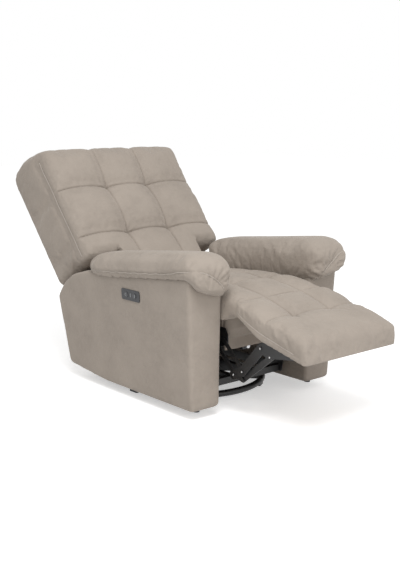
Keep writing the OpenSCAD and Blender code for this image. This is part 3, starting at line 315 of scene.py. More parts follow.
wear.links.new(start.outputs["Rough"], rough.inputs[2])
wear.links.new(rough.outputs[0], end.inputs["Roughness"])
bump = add_node(wear, "ShaderNodeBump", Strength=0.4)
wear.links.new(start.outputs["Depth"], bump.inputs["Distance"])
wear.links.new(grain.outputs["Fac"], bump.inputs["Height"])
wear.links.new(bump.outputs[0], end.inputs["Normal"])
print("wear has", len(wear.nodes), "nodes")

# %% [markdown]
# ## The cover's velvet
# The cover is a warm grey-taupe velvet. Its sheen grows where the cloth turns away from the eye,
# which plain roughness can't give. The welts are the same cloth in a paler colour, a painted
# highlight for the light that thin cords catch.


# %% Velvet
def velvet(name, colour, shade, sheen):
    material, tree = new_material(name)
    shader = add_node(tree, "ShaderNodeBsdfPrincipled")
    shader.inputs["Sheen Weight"].default_value = sheen
    shader.inputs["Sheen Roughness"].default_value = 0.35
    shader.inputs["Sheen Tint"].default_value = (1.0, 0.95, 0.88, 1)
    shader.inputs["Specular IOR Level"].default_value = 0.15
    group = add_node(tree, "ShaderNodeGroup", node_tree=pile)
    group.inputs["Colour"].default_value = colour
    group.inputs["Shade"].default_value = shade
    out = add_node(tree, "ShaderNodeOutputMaterial")
    tree.links.new(group.outputs["Colour"], shader.inputs["Base Color"])
    tree.links.new(group.outputs["Roughness"], shader.inputs["Roughness"])
    tree.links.new(group.outputs["Normal"], shader.inputs["Normal"])
    tree.links.new(shader.outputs[0], out.inputs[0])
    return material


cover = velvet("taupe_velvet", (0.345, 0.299, 0.257, 1), (0.272, 0.235, 0.202, 1), sheen=0.3)
# The welts' paler colour is a painted highlight along the cords.
welt = velvet("taupe_welt", (0.43, 0.385, 0.342, 1), (0.37, 0.33, 0.29, 1), sheen=0.4)
print("velvets", cover.name, welt.name)

# %% [markdown]
# ## Metal, plastic and rubber
# The mechanism is black enamel over steel, its rivets are zinc plated and the springs are bare wire.
# The switch plate is moulded, with lighter buttons and pale raised marks. All use the handled group.


# %% Hard finishes
def handled(name, colour, worn, rough, grain, depth, metallic=0.0, coat=0.0):
    material, tree = new_material(name)
    shader = add_node(tree, "ShaderNodeBsdfPrincipled")
    shader.inputs["Metallic"].default_value = metallic
    shader.inputs["Coat Weight"].default_value = coat
    shader.inputs["Coat Roughness"].default_value = 0.2
    group = add_node(tree, "ShaderNodeGroup", node_tree=wear)
    group.inputs["Grain"].default_value = grain
    group.inputs["Depth"].default_value = depth
    group.inputs["Rough"].default_value = rough
    out = add_node(tree, "ShaderNodeOutputMaterial")
    surface = mix_colour(tree, group.outputs["Mask"], colour, worn)
    tree.links.new(surface, shader.inputs["Base Color"])
    tree.links.new(group.outputs["Roughness"], shader.inputs["Roughness"])
    tree.links.new(group.outputs["Normal"], shader.inputs["Normal"])
    tree.links.new(shader.outputs[0], out.inputs[0])
    print("finish", name)
    return material


enamel = handled("black_enamel", (0.006, 0.006, 0.0065, 1), (0.01, 0.01, 0.0105, 1),
                 rough=0.42, grain=420, depth=0.0002, coat=0.1)
zinc = handled("zinc_plate", (0.62, 0.63, 0.64, 1), (0.5, 0.5, 0.5, 1),
               rough=0.32, grain=300, depth=0.0001, metallic=1.0)
wire = handled("spring_wire", (0.2, 0.2, 0.21, 1), (0.12, 0.11, 0.1, 1),
               rough=0.42, grain=260, depth=0.0001, metallic=1.0)
moulded = handled("moulded_plastic", (0.022, 0.023, 0.026, 1), (0.03, 0.031, 0.034, 1),
                  rough=0.42, grain=1500, depth=0.0002)
button_mould = handled("button_plastic", (0.045, 0.047, 0.052, 1), (0.055, 0.056, 0.06, 1),
                       rough=0.38, grain=1500, depth=0.0002)
mark = handled("button_mark", (0.32, 0.33, 0.34, 1), (0.27, 0.28, 0.29, 1),
               rough=0.5, grain=1500, depth=0.0001)
rubber = handled("black_rubber", (0.014, 0.014, 0.015, 1), (0.025, 0.025, 0.026, 1),
                 rough=0.75, grain=700, depth=0.0004)

# %% [markdown]
# ## Frame timber
# The boards inside are sawn softwood. Noise that is stretched across the chair, as most boards run,
# reads as their grain. Nothing finer is needed, because the boards show only through gaps.


# %% Sawn timber
def sawn_wood(name):
    material, tree = new_material(name)
    shader = add_node(tree, "ShaderNodeBsdfPrincipled", Roughness=0.7)
    coordinate = add_node(tree, "ShaderNodeTexCoord")
    place = add_node(tree, "ShaderNodeMapping")
    place.inputs["Scale"].default_value = (1.0, 9.0, 9.0)
    tree.links.new(coordinate.outputs["Object"], place.inputs["Vector"])
    rings = noise(tree, place.outputs[0], scale=9.0, detail=6.0, rough=0.7)
    streaks = ramp(tree, rings, 0.3, 0.7)
    grown = mix_colour(tree, streaks, (0.30, 0.17, 0.08, 1), (0.55, 0.38, 0.21, 1))
    tree.links.new(grown, shader.inputs["Base Color"])
    bump = add_node(tree, "ShaderNodeBump", Strength=0.3, Distance=0.001)
    tree.links.new(rings, bump.inputs["Height"])
    tree.links.new(bump.outputs[0], shader.inputs["Normal"])
    out = add_node(tree, "ShaderNodeOutputMaterial")
    tree.links.new(shader.outputs[0], out.inputs[0])
    return material


timber = sawn_wood("sawn_timber")
print("timber", timber.name)

# %% [markdown]
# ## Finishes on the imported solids
# Each solid names its material in the record, so a table from that name to a finish dresses them all.
# The buttons get a lighter plastic, and the board under the seat's front edge is wrapped in cloth.

# %% Finish every solid
finish_of_slot = {
    "black_steel": enamel,
    "zinc_plated_steel": zinc,
    "bearing_steel": zinc,
    "spring_wire": wire,
    "taupe_fabric": cover,
    "frame_wood": timber,
    "black_plastic": moulded,
    "black_rubber": rubber,
}
for entry in frame["record"]["subparts"]:
    node = nodes[entry["node"]]
    finish = finish_of_slot.get(entry["material_slot"], cover)
    if entry["node"].endswith("_button"):
        finish = button_mould
    if entry["node"] == "seat_front_board":
        finish = cover
    node.data.materials.clear()
    node.data.materials.append(finish)
print("finishes on", len(nodes), "nodes")

# %% [markdown]
# ## From a solid to a skin
# A cushion is a sewn bag pressed out by its filling. It could be sculpted, but starting from the
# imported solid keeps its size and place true. The solid's loose triangles are merged at their
# corners, any neighbour that shares the cover is added, and one even mesh is laid over them all.


# %% Mesh helpers
def points_of(mesh):
    flat = np.empty(len(mesh.vertices) * 3)
    mesh.vertices.foreach_get("co", flat)
    return flat.reshape(-1, 3)


def put_points(mesh, points):
    mesh.vertices.foreach_set("co", points.astype(np.float32).ravel())
    mesh.update()


def normals_of(mesh):
    flat = np.empty(len(mesh.vertices) * 3)
    mesh.vertex_normals.foreach_get("vector", flat)
    return flat.reshape(-1, 3)


def apply_all(piece):
    """Makes the modifiers' result the piece's own mesh."""
    graph = bpy.context.evaluated_depsgraph_get()
    done = bpy.data.meshes.new_from_object(piece.evaluated_get(graph))
    old = piece.data
    piece.modifiers.clear()
    piece.data = done
    bpy.data.meshes.remove(old)


print("the back cushion's solid has", len(points_of(nodes["back_cushion"].data)), "points")

# %% Skin helpers
MERGE_DISTANCE = 0.0002


def solid_of(node):
    work = bmesh.new()
    work.from_mesh(nodes[node].data)
    bmesh.ops.remove_doubles(work, verts=work.verts, dist=MERGE_DISTANCE)
    return work


def joined(name, parts):
    """Puts loose bmeshes into one new piece; the even remesh then makes one skin of them."""
    work = bmesh.new()
    for part in parts:
        spare = bpy.data.meshes.new("spare")
        part.to_mesh(spare)
        part.free()
        work.from_mesh(spare)
        bpy.data.meshes.remove(spare)
    mesh = bpy.data.meshes.new(name)
    work.to_mesh(mesh)
    work.free()
    piece = bpy.data.objects.new(name, mesh)
    scene.collection.objects.link(piece)
    return piece


def even_mesh(piece, voxel):
    remesh = piece.modifiers.new("even", "REMESH")
    remesh.mode = "VOXEL"
    remesh.voxel_size = voxel
    apply_all(piece)


def relax(piece, passes):
    """Rounds the faceted solid off before it is filled."""
    smooth = piece.modifiers.new("relax", "SMOOTH")
    smooth.factor = 0.5
    smooth.iterations = passes
    apply_all(piece)


def refine(piece):
    """Splits every face once, so that narrow seams can be pressed in."""
    smooth = piece.modifiers.new("smooth", "SUBSURF")
    smooth.levels = 1
    smooth.render_levels = 1
    apply_all(piece)


print("points closer than", MERGE_DISTANCE, "m are merged")

# %% [markdown]
# ## Filling a cushion
# Real filling presses the cover out between its seams. Cloth simulation does the same: pressure acts
# from inside while sewn points are held, fully on a seam and less beside it. The moves are kept
# under a cap, so that the cushion keeps the size of its solid.

# %% Filling
FILL_PRESSURE = 2.6
COVER_LOOSENESS = 0.03
FILL_FRAMES = 20
HOLD_LEVELS = 20


def bell(distance, width):
    """1 at no distance, fading to nothing over a few widths, as a bell's outline does."""
    return np.exp(-((distance / width) ** 2))


def swell(piece, held, cap):
    """Runs the cloth with the held share of each point fixed, and keeps moves under the cap."""
    start = points_of(piece.data).copy()
    group = piece.vertex_groups.new(name="sewn")
    levels = np.clip((held * HOLD_LEVELS).astype(int), 0, HOLD_LEVELS)
    for level in range(1, HOLD_LEVELS + 1):
        found = np.nonzero(levels == level)[0].tolist()
        if found:
            group.add(found, level / HOLD_LEVELS, "REPLACE")
    cloth = piece.modifiers.new("filling", "CLOTH")
    cloth.settings.quality = 5
    cloth.settings.mass = 0.3
    cloth.settings.tension_stiffness = 12
    cloth.settings.compression_stiffness = 12
    cloth.settings.shear_stiffness = 6
    cloth.settings.bending_stiffness = 0.4
    cloth.settings.use_pressure = True
    cloth.settings.uniform_pressure_force = FILL_PRESSURE
    cloth.settings.vertex_group_mass = "sewn"
    cloth.settings.shrink_min = -COVER_LOOSENESS
    cloth.settings.effector_weights.gravity = 0
    cloth.collision_settings.use_collision = False
    for moment in range(1, FILL_FRAMES + 1):
        scene.frame_set(moment)
    apply_all(piece)
    scene.frame_set(1)
    moved = points_of(piece.data) - start
    far = np.linalg.norm(moved, axis=1, keepdims=True)
    soft = cap * np.tanh(far / cap)
    put_points(piece.data, start + moved * soft / np.maximum(far, 1e-9))
    print(piece.name, "swelled by at most", round(float(soft.max()) * 1000, 1), "mm")


print("filling pressure", FILL_PRESSURE)

# %% [markdown]
# ## Lines on a cover
# Seams and welts follow the cover's surface. A line is given by a few places near it, and points
# along it are moved to the nearest spot on the skin. A stitched line is then pressed in, deepest on
# the line itself.

# %% Line helpers
LINE_STEP = 0.006


def on_surface(piece, line):
    """The line's points, one every few millimetres, each at the nearest place on the piece."""
    work = bmesh.new()
    work.from_mesh(piece.data)
    tree = BVHTree.FromBMesh(work)
    work.free()
    found = []
    for start, end in zip(line, line[1:]):
        way = Vector(end) - Vector(start)
        count = max(2, int(way.length / LINE_STEP))
        for k in range(count):
            found.append(tree.find_nearest(Vector(start).lerp(Vector(end), k / count))[0])
    found.append(tree.find_nearest(Vector(line[-1]))[0])
    return found


def distance_to(lines, points):
    flat = [p for line in lines for p in line]
    tree = KDTree(len(flat))
    for i, p in enumerate(flat):
        tree.insert(p, i)
    tree.balance()
    return np.array([tree.find(p)[2] for p in points])


def smooth_line(line, passes=6):
    """Evens a line of points out, ends kept."""
    flat = np.array([tuple(p) for p in line])
    for _ in range(passes):
        flat[1:-1] = (flat[:-2] + flat[1:-1] * 2 + flat[2:]) / 4
    return [Vector(p) for p in flat]


def press_in(piece, lines, depth, width):
    """Pulls the surface in along a sewn line, as a stitched channel does."""
    points = points_of(piece.data)
    near = distance_to(lines, points)
    push = depth * np.exp(-near / width)
    put_points(piece.data, points - normals_of(piece.data) * push[:, None])


print("a line has a point every", LINE_STEP, "m")

# %% [markdown]
# ## A quilted face
# The seat, back and footrest are quilted: rows and columns of stitches cross, and a tuft is drawn in
# where they meet. The face's form is a formula over its own plane: the filling is highest in the
# middle of a square, lower on a seam and lowest at a tuft. A formula keeps every seam exactly where
# it is named, which tracing lines on a lumpy surface does not.

# %% Quilt
# Below any cushion, so that columns which start there run the whole way.
FAR_BELOW = -9.0
COLUMN_FADE = 0.06


def rises(values, start, over):
    """0 up to the start, then a straight rise to 1."""
    return np.clip((values - start) / over, 0, 1)


def fullness(values, seams):
    """0 on a seam and 1 in the middle between two seams, steep beside the seam."""
    marks = np.array(seams)
    cell = np.clip(np.searchsorted(marks, values) - 1, 0, len(marks) - 2)
    share = np.clip((values - marks[cell]) / (marks[cell + 1] - marks[cell]), 0, 1)
    return np.abs(np.sin(np.pi * share)) ** 0.6


def pillow(crown, a, b):
    """Height of the filling: none at a tuft, three quarters on a seam, full in mid square."""
    return crown * (0.75 * a + 0.75 * b - 0.5 * a * b)


def dome(u, half, power):
    """1 across the face, falling to 0 at its sides; a higher power makes a squarer edge."""
    return np.clip(1 - np.abs(u / half) ** power, 0, 1) ** (1 / power)


class Quilt:
    """A sewn face on a plane: u runs across, v along and w out. Columns may start part way along."""

    def __init__(self, origin, along, out, columns, rows, crown, span, columns_from=FAR_BELOW):
        self.origin = Vector(origin)
        self.along = Vector(along).normalized()
        self.out = Vector(out).normalized()
        self.columns = columns
        self.rows = rows
        self.crown = crown
        self.span = span
        self.columns_from = columns_from

    def flat(self, points):
        away = points - np.array(self.origin)
        return points[:, 0], away @ np.array(self.along), away @ np.array(self.out)

    def near(self, u, v):
        """Distance to the nearest seam."""
        across = np.min([np.abs(u - seam) for seam in self.columns[1:-1]], axis=0)
        across = np.hypot(across, np.maximum(self.columns_from - v, 0))
        return np.minimum(across, np.min([np.abs(v - seam) for seam in self.rows[1:-1]], axis=0))

    def rise(self, u, v):
        a = fullness(u, self.columns)
        a = a + (1 - a) * rises(-v, -self.columns_from, COLUMN_FADE)
        return pillow(self.crown, a, fullness(v, self.rows))

    def tufts(self):
        return [(u, v) for u in self.columns[1:-1] for v in self.rows[1:-1]]


print("columns fade over", COLUMN_FADE, "m")

# %% [markdown]
# ## Sewing it
# Cloth can't fold more finely than its mesh, so rows of edges are cut along every seam first. The
# swollen face is then brought back to its form near the seams, a narrow crease is drawn along each
# thread, and each tuft is pulled in with small folds around it.

# %% Sewing
# How far from the seam each row of edges is cut.
SEAM_ROWS = (-0.0062, -0.0024, 0.0, 0.0024, 0.0062)
CUT_REACH = 0.013
OUTWARD = 0.05
START_SLACK = 0.012
SEAM_REACH = 0.026
END_FADE = 0.02
TUFT_FOLDS = 7
FOLD_DEPTH = 0.002


def cut_seams(piece, quilt):
    """Cuts rows of edges along each seam, so that a narrow crease stays crisp."""
    work = bmesh.new()
    work.from_mesh(piece.data)
    work.normal_update()
    lines = [(Vector((1, 0, 0)), Vector((seam, 0, 0)), True) for seam in quilt.columns[1:-1]]
    lines += [(quilt.along, quilt.origin + quilt.along * seam, False) for seam in quilt.rows[1:-1]]
    for across, centre, column in lines:
        faces = []
        for face in work.faces:
            middle = face.calc_center_median()
            if abs((middle - centre).dot(across)) > CUT_REACH or face.normal.dot(quilt.out) < OUTWARD:
                continue
            along = (middle - quilt.origin).dot(quilt.along)
            if column and along < quilt.columns_from - START_SLACK:
                continue
            faces.append(face)
        edges = dict.fromkeys(e for f in faces for e in f.edges)
        verts = dict.fromkeys(v for f in faces for v in f.verts)
        geom = [*faces, *edges, *verts]
        for offset in SEAM_ROWS:
            cut = bmesh.ops.bisect_plane(work, geom=geom, dist=MERGE_DISTANCE,
                                         plane_co=centre + across * offset, plane_no=across)
            geom = cut["geom"]
    work.to_mesh(piece.data)
    work.free()


def nowhere(u, v):
    return np.zeros(len(u))


def sew(piece, quilt, form, depth, width, tuft_depth, tuft_width, full=nowhere):
    """Brings the seams back to the depth of the form and draws thread, tufts and small folds in."""
    cut_seams(piece, quilt)
    points = points_of(piece.data)
    u, v, w = quilt.flat(points)
    near = quilt.near(u, v)
    shape = form(u, v)
    faces_out = rises(normals_of(piece.data) @ np.array(quilt.out), 0.1, 0.4)
    faces_out *= rises(w - shape, -0.05, 0.02)
    inside = rises(np.minimum(v - quilt.span[0], quilt.span[1] - v), 0, END_FADE)
    lift = (shape - w) * np.maximum(bell(near, SEAM_REACH), full(u, v)) * inside
    lift -= depth * np.exp(-near / width)
    for i, (tuft_u, tuft_v) in enumerate(quilt.tufts()):
        far = np.hypot(u - tuft_u, v - tuft_v)
        angle = np.arctan2(v - tuft_v, u - tuft_u)
        lift -= tuft_depth * np.exp(-far / tuft_width)
        ring = bell(far - 2.2 * tuft_width, 1.3 * tuft_width)
        uneven = 0.6 + 0.4 * np.sin(2 * angle + 1.9 * i)
        lift -= FOLD_DEPTH * ring * uneven * np.cos(TUFT_FOLDS * angle + 1.7 * i)
    put_points(piece.data, points + np.array(quilt.out) * (lift * faces_out)[:, None])


print("rows of edges cut along a seam", len(SEAM_ROWS))

# %% [markdown]
# ## Finishing a cover, and welts
# A finished cover gets its velvet and smooth shading, and rides on its body. A welt is a thin
# covered cord sewn into a seam: a tube along its line.


# %% Finish and welts
def finish_soft(piece, body):
    piece.data.materials.clear()
    piece.data.materials.append(cover)
    piece.data.polygons.foreach_set("use_smooth", [True] * len(piece.data.polygons))
    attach(piece, body)
    print(piece.name, len(piece.data.polygons), "faces")


def welt_cord(name, lines, radius, body):
    """A thin covered cord that lies in a seam: one tube for each sewn line."""
    curve = bpy.data.curves.new(name, "CURVE")
    curve.dimensions = "3D"
    curve.bevel_depth = radius
    curve.bevel_resolution = 2
    curve.use_fill_caps = True
    for line in lines:
        kept = smooth_line(line)[::2]
        spline = curve.splines.new("POLY")
        spline.points.add(len(kept) - 1)
        for point, place in zip(spline.points, kept):
            point.co = (*place, 1)
    drawn = bpy.data.objects.new(name + "_line", curve)
    scene.collection.objects.link(drawn)
    graph = bpy.context.evaluated_depsgraph_get()
    mesh = bpy.data.meshes.new_from_object(drawn.evaluated_get(graph))
    bpy.data.objects.remove(drawn)
    piece = bpy.data.objects.new(name, mesh)
    scene.collection.objects.link(piece)
    mesh.materials.clear()
    # The cord wears the paler velvet, a painted highlight.
    mesh.materials.append(welt)
    mesh.polygons.foreach_set("use_smooth", [True] * len(mesh.polygons))
    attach(piece, body)
    print(name, len(lines), "cords")


print("covers use", cover.name, "and welts use", welt.name)

# %% [markdown]
# ## The back's own frame
# The back leans 40.7 degrees. Places on it are easiest to give as across, deep into the cushion and
# along the lean, from the middle of its lowest seam. Two helpers turn such places to metres in the
# model and back.

# %% The leaning frame
LEAN = math.radians(40.7)
BACK_Y = 0.323
BACK_Z = 0.637


def on_back(x, deep, along):
    return Vector((
        x,
        BACK_Y + AXIS_Y + deep * math.cos(LEAN) + along * math.sin(LEAN),
        BACK_Z - deep * math.sin(LEAN) + along * math.cos(LEAN),
    ))


def in_back(points):
    y = points[:, 1] - BACK_Y - AXIS_Y
    z = points[:, 2] - BACK_Z
    return np.stack([
        points[:, 0],
        y * math.cos(LEAN) - z * math.sin(LEAN),
        y * math.sin(LEAN) + z * math.cos(LEAN),
    ], axis=1)


print("lowest seam at", tuple(round(v, 3) for v in on_back(0, 0, 0)))

# %% [markdown]
# ## The back cushion's skin
# One cover wraps the quilted cushion and the lower cushion between the arms. Their solids are
# joined: the pocket that holds the frame is filled in, and the lower cushion is lifted and widened
# until the two overlap, so that the remesh makes one skin with no step between them.

# %% Back skin
POCKET_HALF = 0.3205
POCKET_FRONT = 0.12
POCKET_REAR = 0.279
POCKET_TOP = 0.411
LOWER_FOOT = -0.13
LOWER_LIFT = 0.05
LOWER_FORWARD = 0.012
LOWER_WIDER = 1.16


def in_pocket(x, deep, along):
    return abs(x) < POCKET_HALF and POCKET_FRONT < deep < POCKET_REAR and along < POCKET_TOP


upper = solid_of("back_cushion")
local = in_back(np.array([v.co for v in upper.verts]))
inner = [v for v, place in zip(upper.verts, local) if in_pocket(*place)]
bmesh.ops.delete(upper, geom=inner, context="VERTS")
bmesh.ops.holes_fill(upper, edges=[e for e in upper.edges if e.is_boundary], sides=0)
lower = solid_of("lower_back_cushion")
local = in_back(np.array([v.co for v in lower.verts]))
for vert, (x, deep, along) in zip(lower.verts, local):
    if along > LOWER_FOOT:
        vert.co = on_back(x, deep - LOWER_FORWARD, along + LOWER_LIFT)
bmesh.ops.scale(lower, vec=(LOWER_WIDER, 1, 1), verts=lower.verts)
back = joined("back_cushion_cover", [upper, lower])
even_mesh(back, voxel=0.0078)
relax(back, passes=6)
print(back.name, len(back.data.vertices), "points")

# %% [markdown]
# ## The back's quilting
# Three columns and three rows of deep squares meet at four tufts. The columns grow shallower
# towards the top and the sides round off into the side panels.

# %% Back form
BACK_HALF = 0.386
BACK_COLUMN = 0.116
BACK_TOP_ROW = 0.254
BACK_TOP = 0.462
TOP_FADE = 0.7
EDGE_SINK = 0.008
quilt = Quilt(
    origin=on_back(0, 0, 0),
    along=on_back(0, 0, 1) - on_back(0, 0, 0),
    out=on_back(0, -1, 0) - on_back(0, 0, 0),
    columns=(-BACK_HALF, -BACK_COLUMN, BACK_COLUMN, BACK_HALF),
    rows=(-0.29, 0, BACK_TOP_ROW, 0.522),
    crown=0.046,
    span=(-0.27, 0.452),
)


def back_form(u, v):
    """The back's sewn face: the columns grow shallower at the top and the sides round off."""
    a = fullness(u, quilt.columns)
    a = a + (1 - a) * TOP_FADE * rises(v, BACK_TOP_ROW, BACK_TOP - BACK_TOP_ROW) ** 2
    raised = pillow(quilt.crown, a, fullness(v, quilt.rows)) + EDGE_SINK
    return -EDGE_SINK + raised * dome(u, BACK_HALF, 6)


print("back tufts", quilt.tufts())

# %% [markdown]
# ## Filling the back
# The seams, the rims at both sides, the rear face and the wings behind the arm pads are held. After
# the filling, the wings' lower edge is let down a little, because a full cover rounds over there.

# %% Back filling
RIM_X = 0.4
RIM_DEEP = 0.024
RIM_ALONG = (-0.08, 0.05, 0.2, 0.35, 0.44)
BACK_REAR = 0.262
WING_HELD = -0.095
WING_HELD_FROM = 0.205
WING_DROP = 0.016


def side_rims():
    """The line along each side of the back where the sewn face meets the side panel."""
    return [
        on_surface(back, [on_back(side * RIM_X, RIM_DEEP, along) for along in RIM_ALONG])
        for side in (-1, 1)
    ]


rims = side_rims()
points = points_of(back.data)
u, v, w = quilt.flat(points)
held = np.maximum(bell(quilt.near(u, v), 0.013), bell(distance_to(rims, points), 0.028))
held[w < -BACK_REAR] = 1
held[(v < WING_HELD) & (np.abs(u) > WING_HELD_FROM)] = 1
swell(back, held, cap=0.010)
refine(back)
points = points_of(back.data)
u, v, w = quilt.flat(points)
# The drop starts a little below the lowest seam, is full at the wings and fades at their lower edge.
drop = WING_DROP * rises(-v, 0.03, 0.05) * rises(v, -0.13, 0.03)
# It acts only near both sides, and only near the front.
drop *= rises(np.abs(u), 0.215, 0.02) * rises(w, -0.10, 0.06)
put_points(back.data, points - np.array(quilt.along) * drop[:, None])
print("wings let down by at most", round(float(drop.max()) * 1000, 1), "mm")

# %% [markdown]
# ## Sewing the back
# The lowest squares stay full down to their edge, because they go on behind the arm pads. A welt
# lies in each side rim; its line is smoothed well, because the eye catches any wave in it.

# %% Back sewing
SEAT_LEVEL = -0.3
WING_LEVEL = -0.104
WING_FROM = 0.222
FULL_HALF = 0.375
WELT_OUT = 0.0016
WELT_PROUD = 0.0004


def lower_row(u, v):
    """The lowest squares stay full down to the edge, because they go on behind the arm pads."""
    level = np.where(np.abs(u) > WING_FROM, WING_LEVEL, SEAT_LEVEL)
    return rises(-v, 0, 0.04) * rises(v, level, 0.05) ** 2 * rises(-np.abs(u), -FULL_HALF, 0.02)


sew(back, quilt, back_form, depth=0.006, width=0.0034, tuft_depth=0.006, tuft_width=0.012,
    full=lower_row)
press_in(back, rims, depth=0.004, width=0.004)
rim_cord = [smooth_line(line, passes=60) for line in side_rims()]
for side, line in zip((-1, 1), rim_cord):
    for place in line:
        place += Vector((side * WELT_OUT, 0, 0)) - (on_back(0, WELT_PROUD, 0) - on_back(0, 0, 0))
finish_soft(back, "back")
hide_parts("back_cushion", "back_cover", "lower_back_cushion")
welt_cord("back_side_welts", rim_cord, radius=0.0019, body="back")

# %% [markdown]
# ## The shared square
# The sewn square in front of the seat's row runs on over the footrest. So that both covers follow
# one form there, its height is one formula, and each cushion gets a soft slab with that top.

# %% Shared square
SEAT_ROW = -0.367
FOOT_ROW = -0.726
SEAT_ROW_HEIGHT = 0.500
FOOT_ROW_HEIGHT = 0.432
SEAT_CROWN = 0.032
FOOT_CROWN = 0.022
COLUMN = 0.10
SEAM_Y = -0.572
SEAM_HELD = 0.012
BELLY = 0.008
SIDE_INSET = 0.995


def sewn_height(x, y, half, side_drop):
    """Height of the square between the seat's row and the footrest's row, at x and y."""
    x = x * SIDE_INSET
    share = (y - AXIS_Y - SEAT_ROW) / (FOOT_ROW - SEAT_ROW)
    crown = SEAT_CROWN + (FOOT_CROWN - SEAT_CROWN) * share
    a = fullness(x, (-half, -COLUMN, COLUMN, half))
    b = np.abs(np.sin(np.pi * share)) ** 0.6
    line = SEAT_ROW_HEIGHT + (FOOT_ROW_HEIGHT - SEAT_ROW_HEIGHT) * share
    line = line + BELLY * np.sin(np.pi * share)
    return line + pillow(crown, a, b) - crown / 2 - side_drop * (1 - dome(x, half, 5))


def bridging_slab(from_y, to_y, half, side_drop, thick):
    """A soft slab whose top continues the sewn square, to be merged with a cushion."""
    work = bmesh.new()
    bmesh.ops.create_grid(work, x_segments=36, y_segments=14, size=1)
    for vert in work.verts:
        x = vert.co.x * half
        y = from_y + (to_y - from_y) * (vert.co.y + 1) / 2 + AXIS_Y
        vert.co = (x, y, sewn_height(x, y, half, side_drop))
    moved = bmesh.ops.extrude_face_region(work, geom=list(work.faces))["geom"]
    lowered = [g for g in moved if isinstance(g, bmesh.types.BMVert)]
    bmesh.ops.translate(work, vec=(0, 0, -thick), verts=lowered)
    bmesh.ops.recalc_face_normals(work, faces=work.faces)
    return work


print("covers meet at y", SEAM_Y + AXIS_Y)

# %% [markdown]
# ## The seat
# The seat's cover reaches past the frame at rest, over its slab, and meets the footrest's cover. As
# the footrest folds, real filling crumples there.

# %% Seat cushion
SEAT_HALF = 0.2457
SEAT_REAR = 0.068
SEAT_REAR_HEIGHT = 0.506
SEAT_SIDE = 0.44
SEAT_UNDER = 0.43
SEAT_FLANK = 0.236
SEAT_SLAB_END = -0.45
SEAT_SLAB = {"half": 0.2445, "side_drop": 0.045}
seat = joined("seat_cushion_cover", [
    solid_of("seat_cushion"),
    bridging_slab(SEAM_Y, SEAT_SLAB_END, thick=0.055, **SEAT_SLAB),
])
even_mesh(seat, voxel=0.0072)
relax(seat, passes=5)
quilt = Quilt(
    origin=(0, AXIS_Y, 0), along=(0, 1, 0), out=(0, 0, 1),
    columns=(-SEAT_HALF, -COLUMN, COLUMN, SEAT_HALF), rows=(FOOT_ROW, SEAT_ROW, SEAT_REAR),
    crown=SEAT_CROWN, span=(-0.60, 0.05),
)


def seat_form(u, v):
    """The seat's sewn face behind its row, and the shared square in front of it."""
    behind = np.interp(v, (SEAT_ROW, SEAT_REAR), (SEAT_ROW_HEIGHT, SEAT_REAR_HEIGHT))
    behind = behind + quilt.rise(u, v) - quilt.crown / 2
    behind = SEAT_SIDE + (behind - SEAT_SIDE) * dome(u, SEAT_HALF, 5)
    return np.where(v > SEAT_ROW, behind, sewn_height(u, v + AXIS_Y, **SEAT_SLAB))


u, v, w = quilt.flat(points_of(seat.data))
held = bell(quilt.near(u, v), 0.012)
held[w < SEAT_UNDER] = 1
held[np.abs(u) > SEAT_FLANK] = 1
held[v < SEAM_Y + SEAM_HELD] = 1
swell(seat, held, cap=0.008)
refine(seat)
sew(seat, quilt, seat_form, depth=0.005, width=0.0032, tuft_depth=0.005, tuft_width=0.011)
finish_soft(seat, "chassis")
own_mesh(seat)
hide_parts("seat_cushion")

# %% [markdown]
# ## The footrest pad
# Its rear half finishes the sewn square and its front is one wide plain panel, so its columns start
# only at the row. A welt runs along each side, where the top cover meets the gusset.

# %% Footrest pad
FOOT_HALF = 0.258
FOOT_FRONT = -0.936
FOOT_FRONT_HEIGHT = 0.368
FOOT_SLAB_END = -0.68
FOOT_SLAB = {"half": 0.257, "side_drop": 0.016}
GUSSET_X = 0.27
GUSSET_LINE = ((-0.566, 0.440), (-0.62, 0.410), (-0.702, 0.378), (-0.80, 0.352), (-0.90, 0.326))
foot = joined("footrest_pad_cover", [
    solid_of("footrest_pad"),
    bridging_slab(FOOT_SLAB_END, SEAM_Y, thick=0.04, **FOOT_SLAB),
])
even_mesh(foot, voxel=0.0068)
relax(foot, passes=4)
quilt = Quilt(
    origin=(0, AXIS_Y, 0), along=(0, 1, 0), out=(0, 0, 1),
    columns=(-FOOT_HALF, -COLUMN, COLUMN, FOOT_HALF), rows=(FOOT_FRONT, FOOT_ROW, SEAT_ROW),
    crown=FOOT_CROWN, span=(-0.92, -0.54), columns_from=FOOT_ROW,
)


def foot_form(u, v):
    """The shared square behind the footrest's row and one wide panel in front of it."""
    before = np.interp(v, (FOOT_FRONT, FOOT_ROW), (FOOT_FRONT_HEIGHT, FOOT_ROW_HEIGHT))
    before = before + quilt.rise(u, v) - quilt.crown / 2
    before -= FOOT_SLAB["side_drop"] * (1 - dome(u, FOOT_HALF, 5))
    return np.where(v < FOOT_ROW, before, sewn_height(u, v + AXIS_Y, **FOOT_SLAB))


gussets = [
    on_surface(foot, [(side * GUSSET_X, y + AXIS_Y, z) for y, z in GUSSET_LINE])
    for side in (-1, 1)
]
points = points_of(foot.data)
u, v, w = quilt.flat(points)
held = np.maximum(bell(quilt.near(u, v), 0.012), bell(distance_to(gussets, points), 0.01))
held[normals_of(foot.data)[:, 2] < -0.5] = 1
held[v > SEAM_Y - SEAM_HELD] = 1
swell(foot, held, cap=0.009)
refine(foot)
sew(foot, quilt, foot_form, depth=0.005, width=0.0032, tuft_depth=0.005, tuft_width=0.011)
press_in(foot, gussets, depth=0.003, width=0.004)
gusset_cord = [on_surface(foot, line[::6]) for line in gussets]
finish_soft(foot, "footrest")
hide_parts("footrest_pad")
welt_cord("footrest_side_welts", gusset_cord, radius=0.0018, body="footrest")

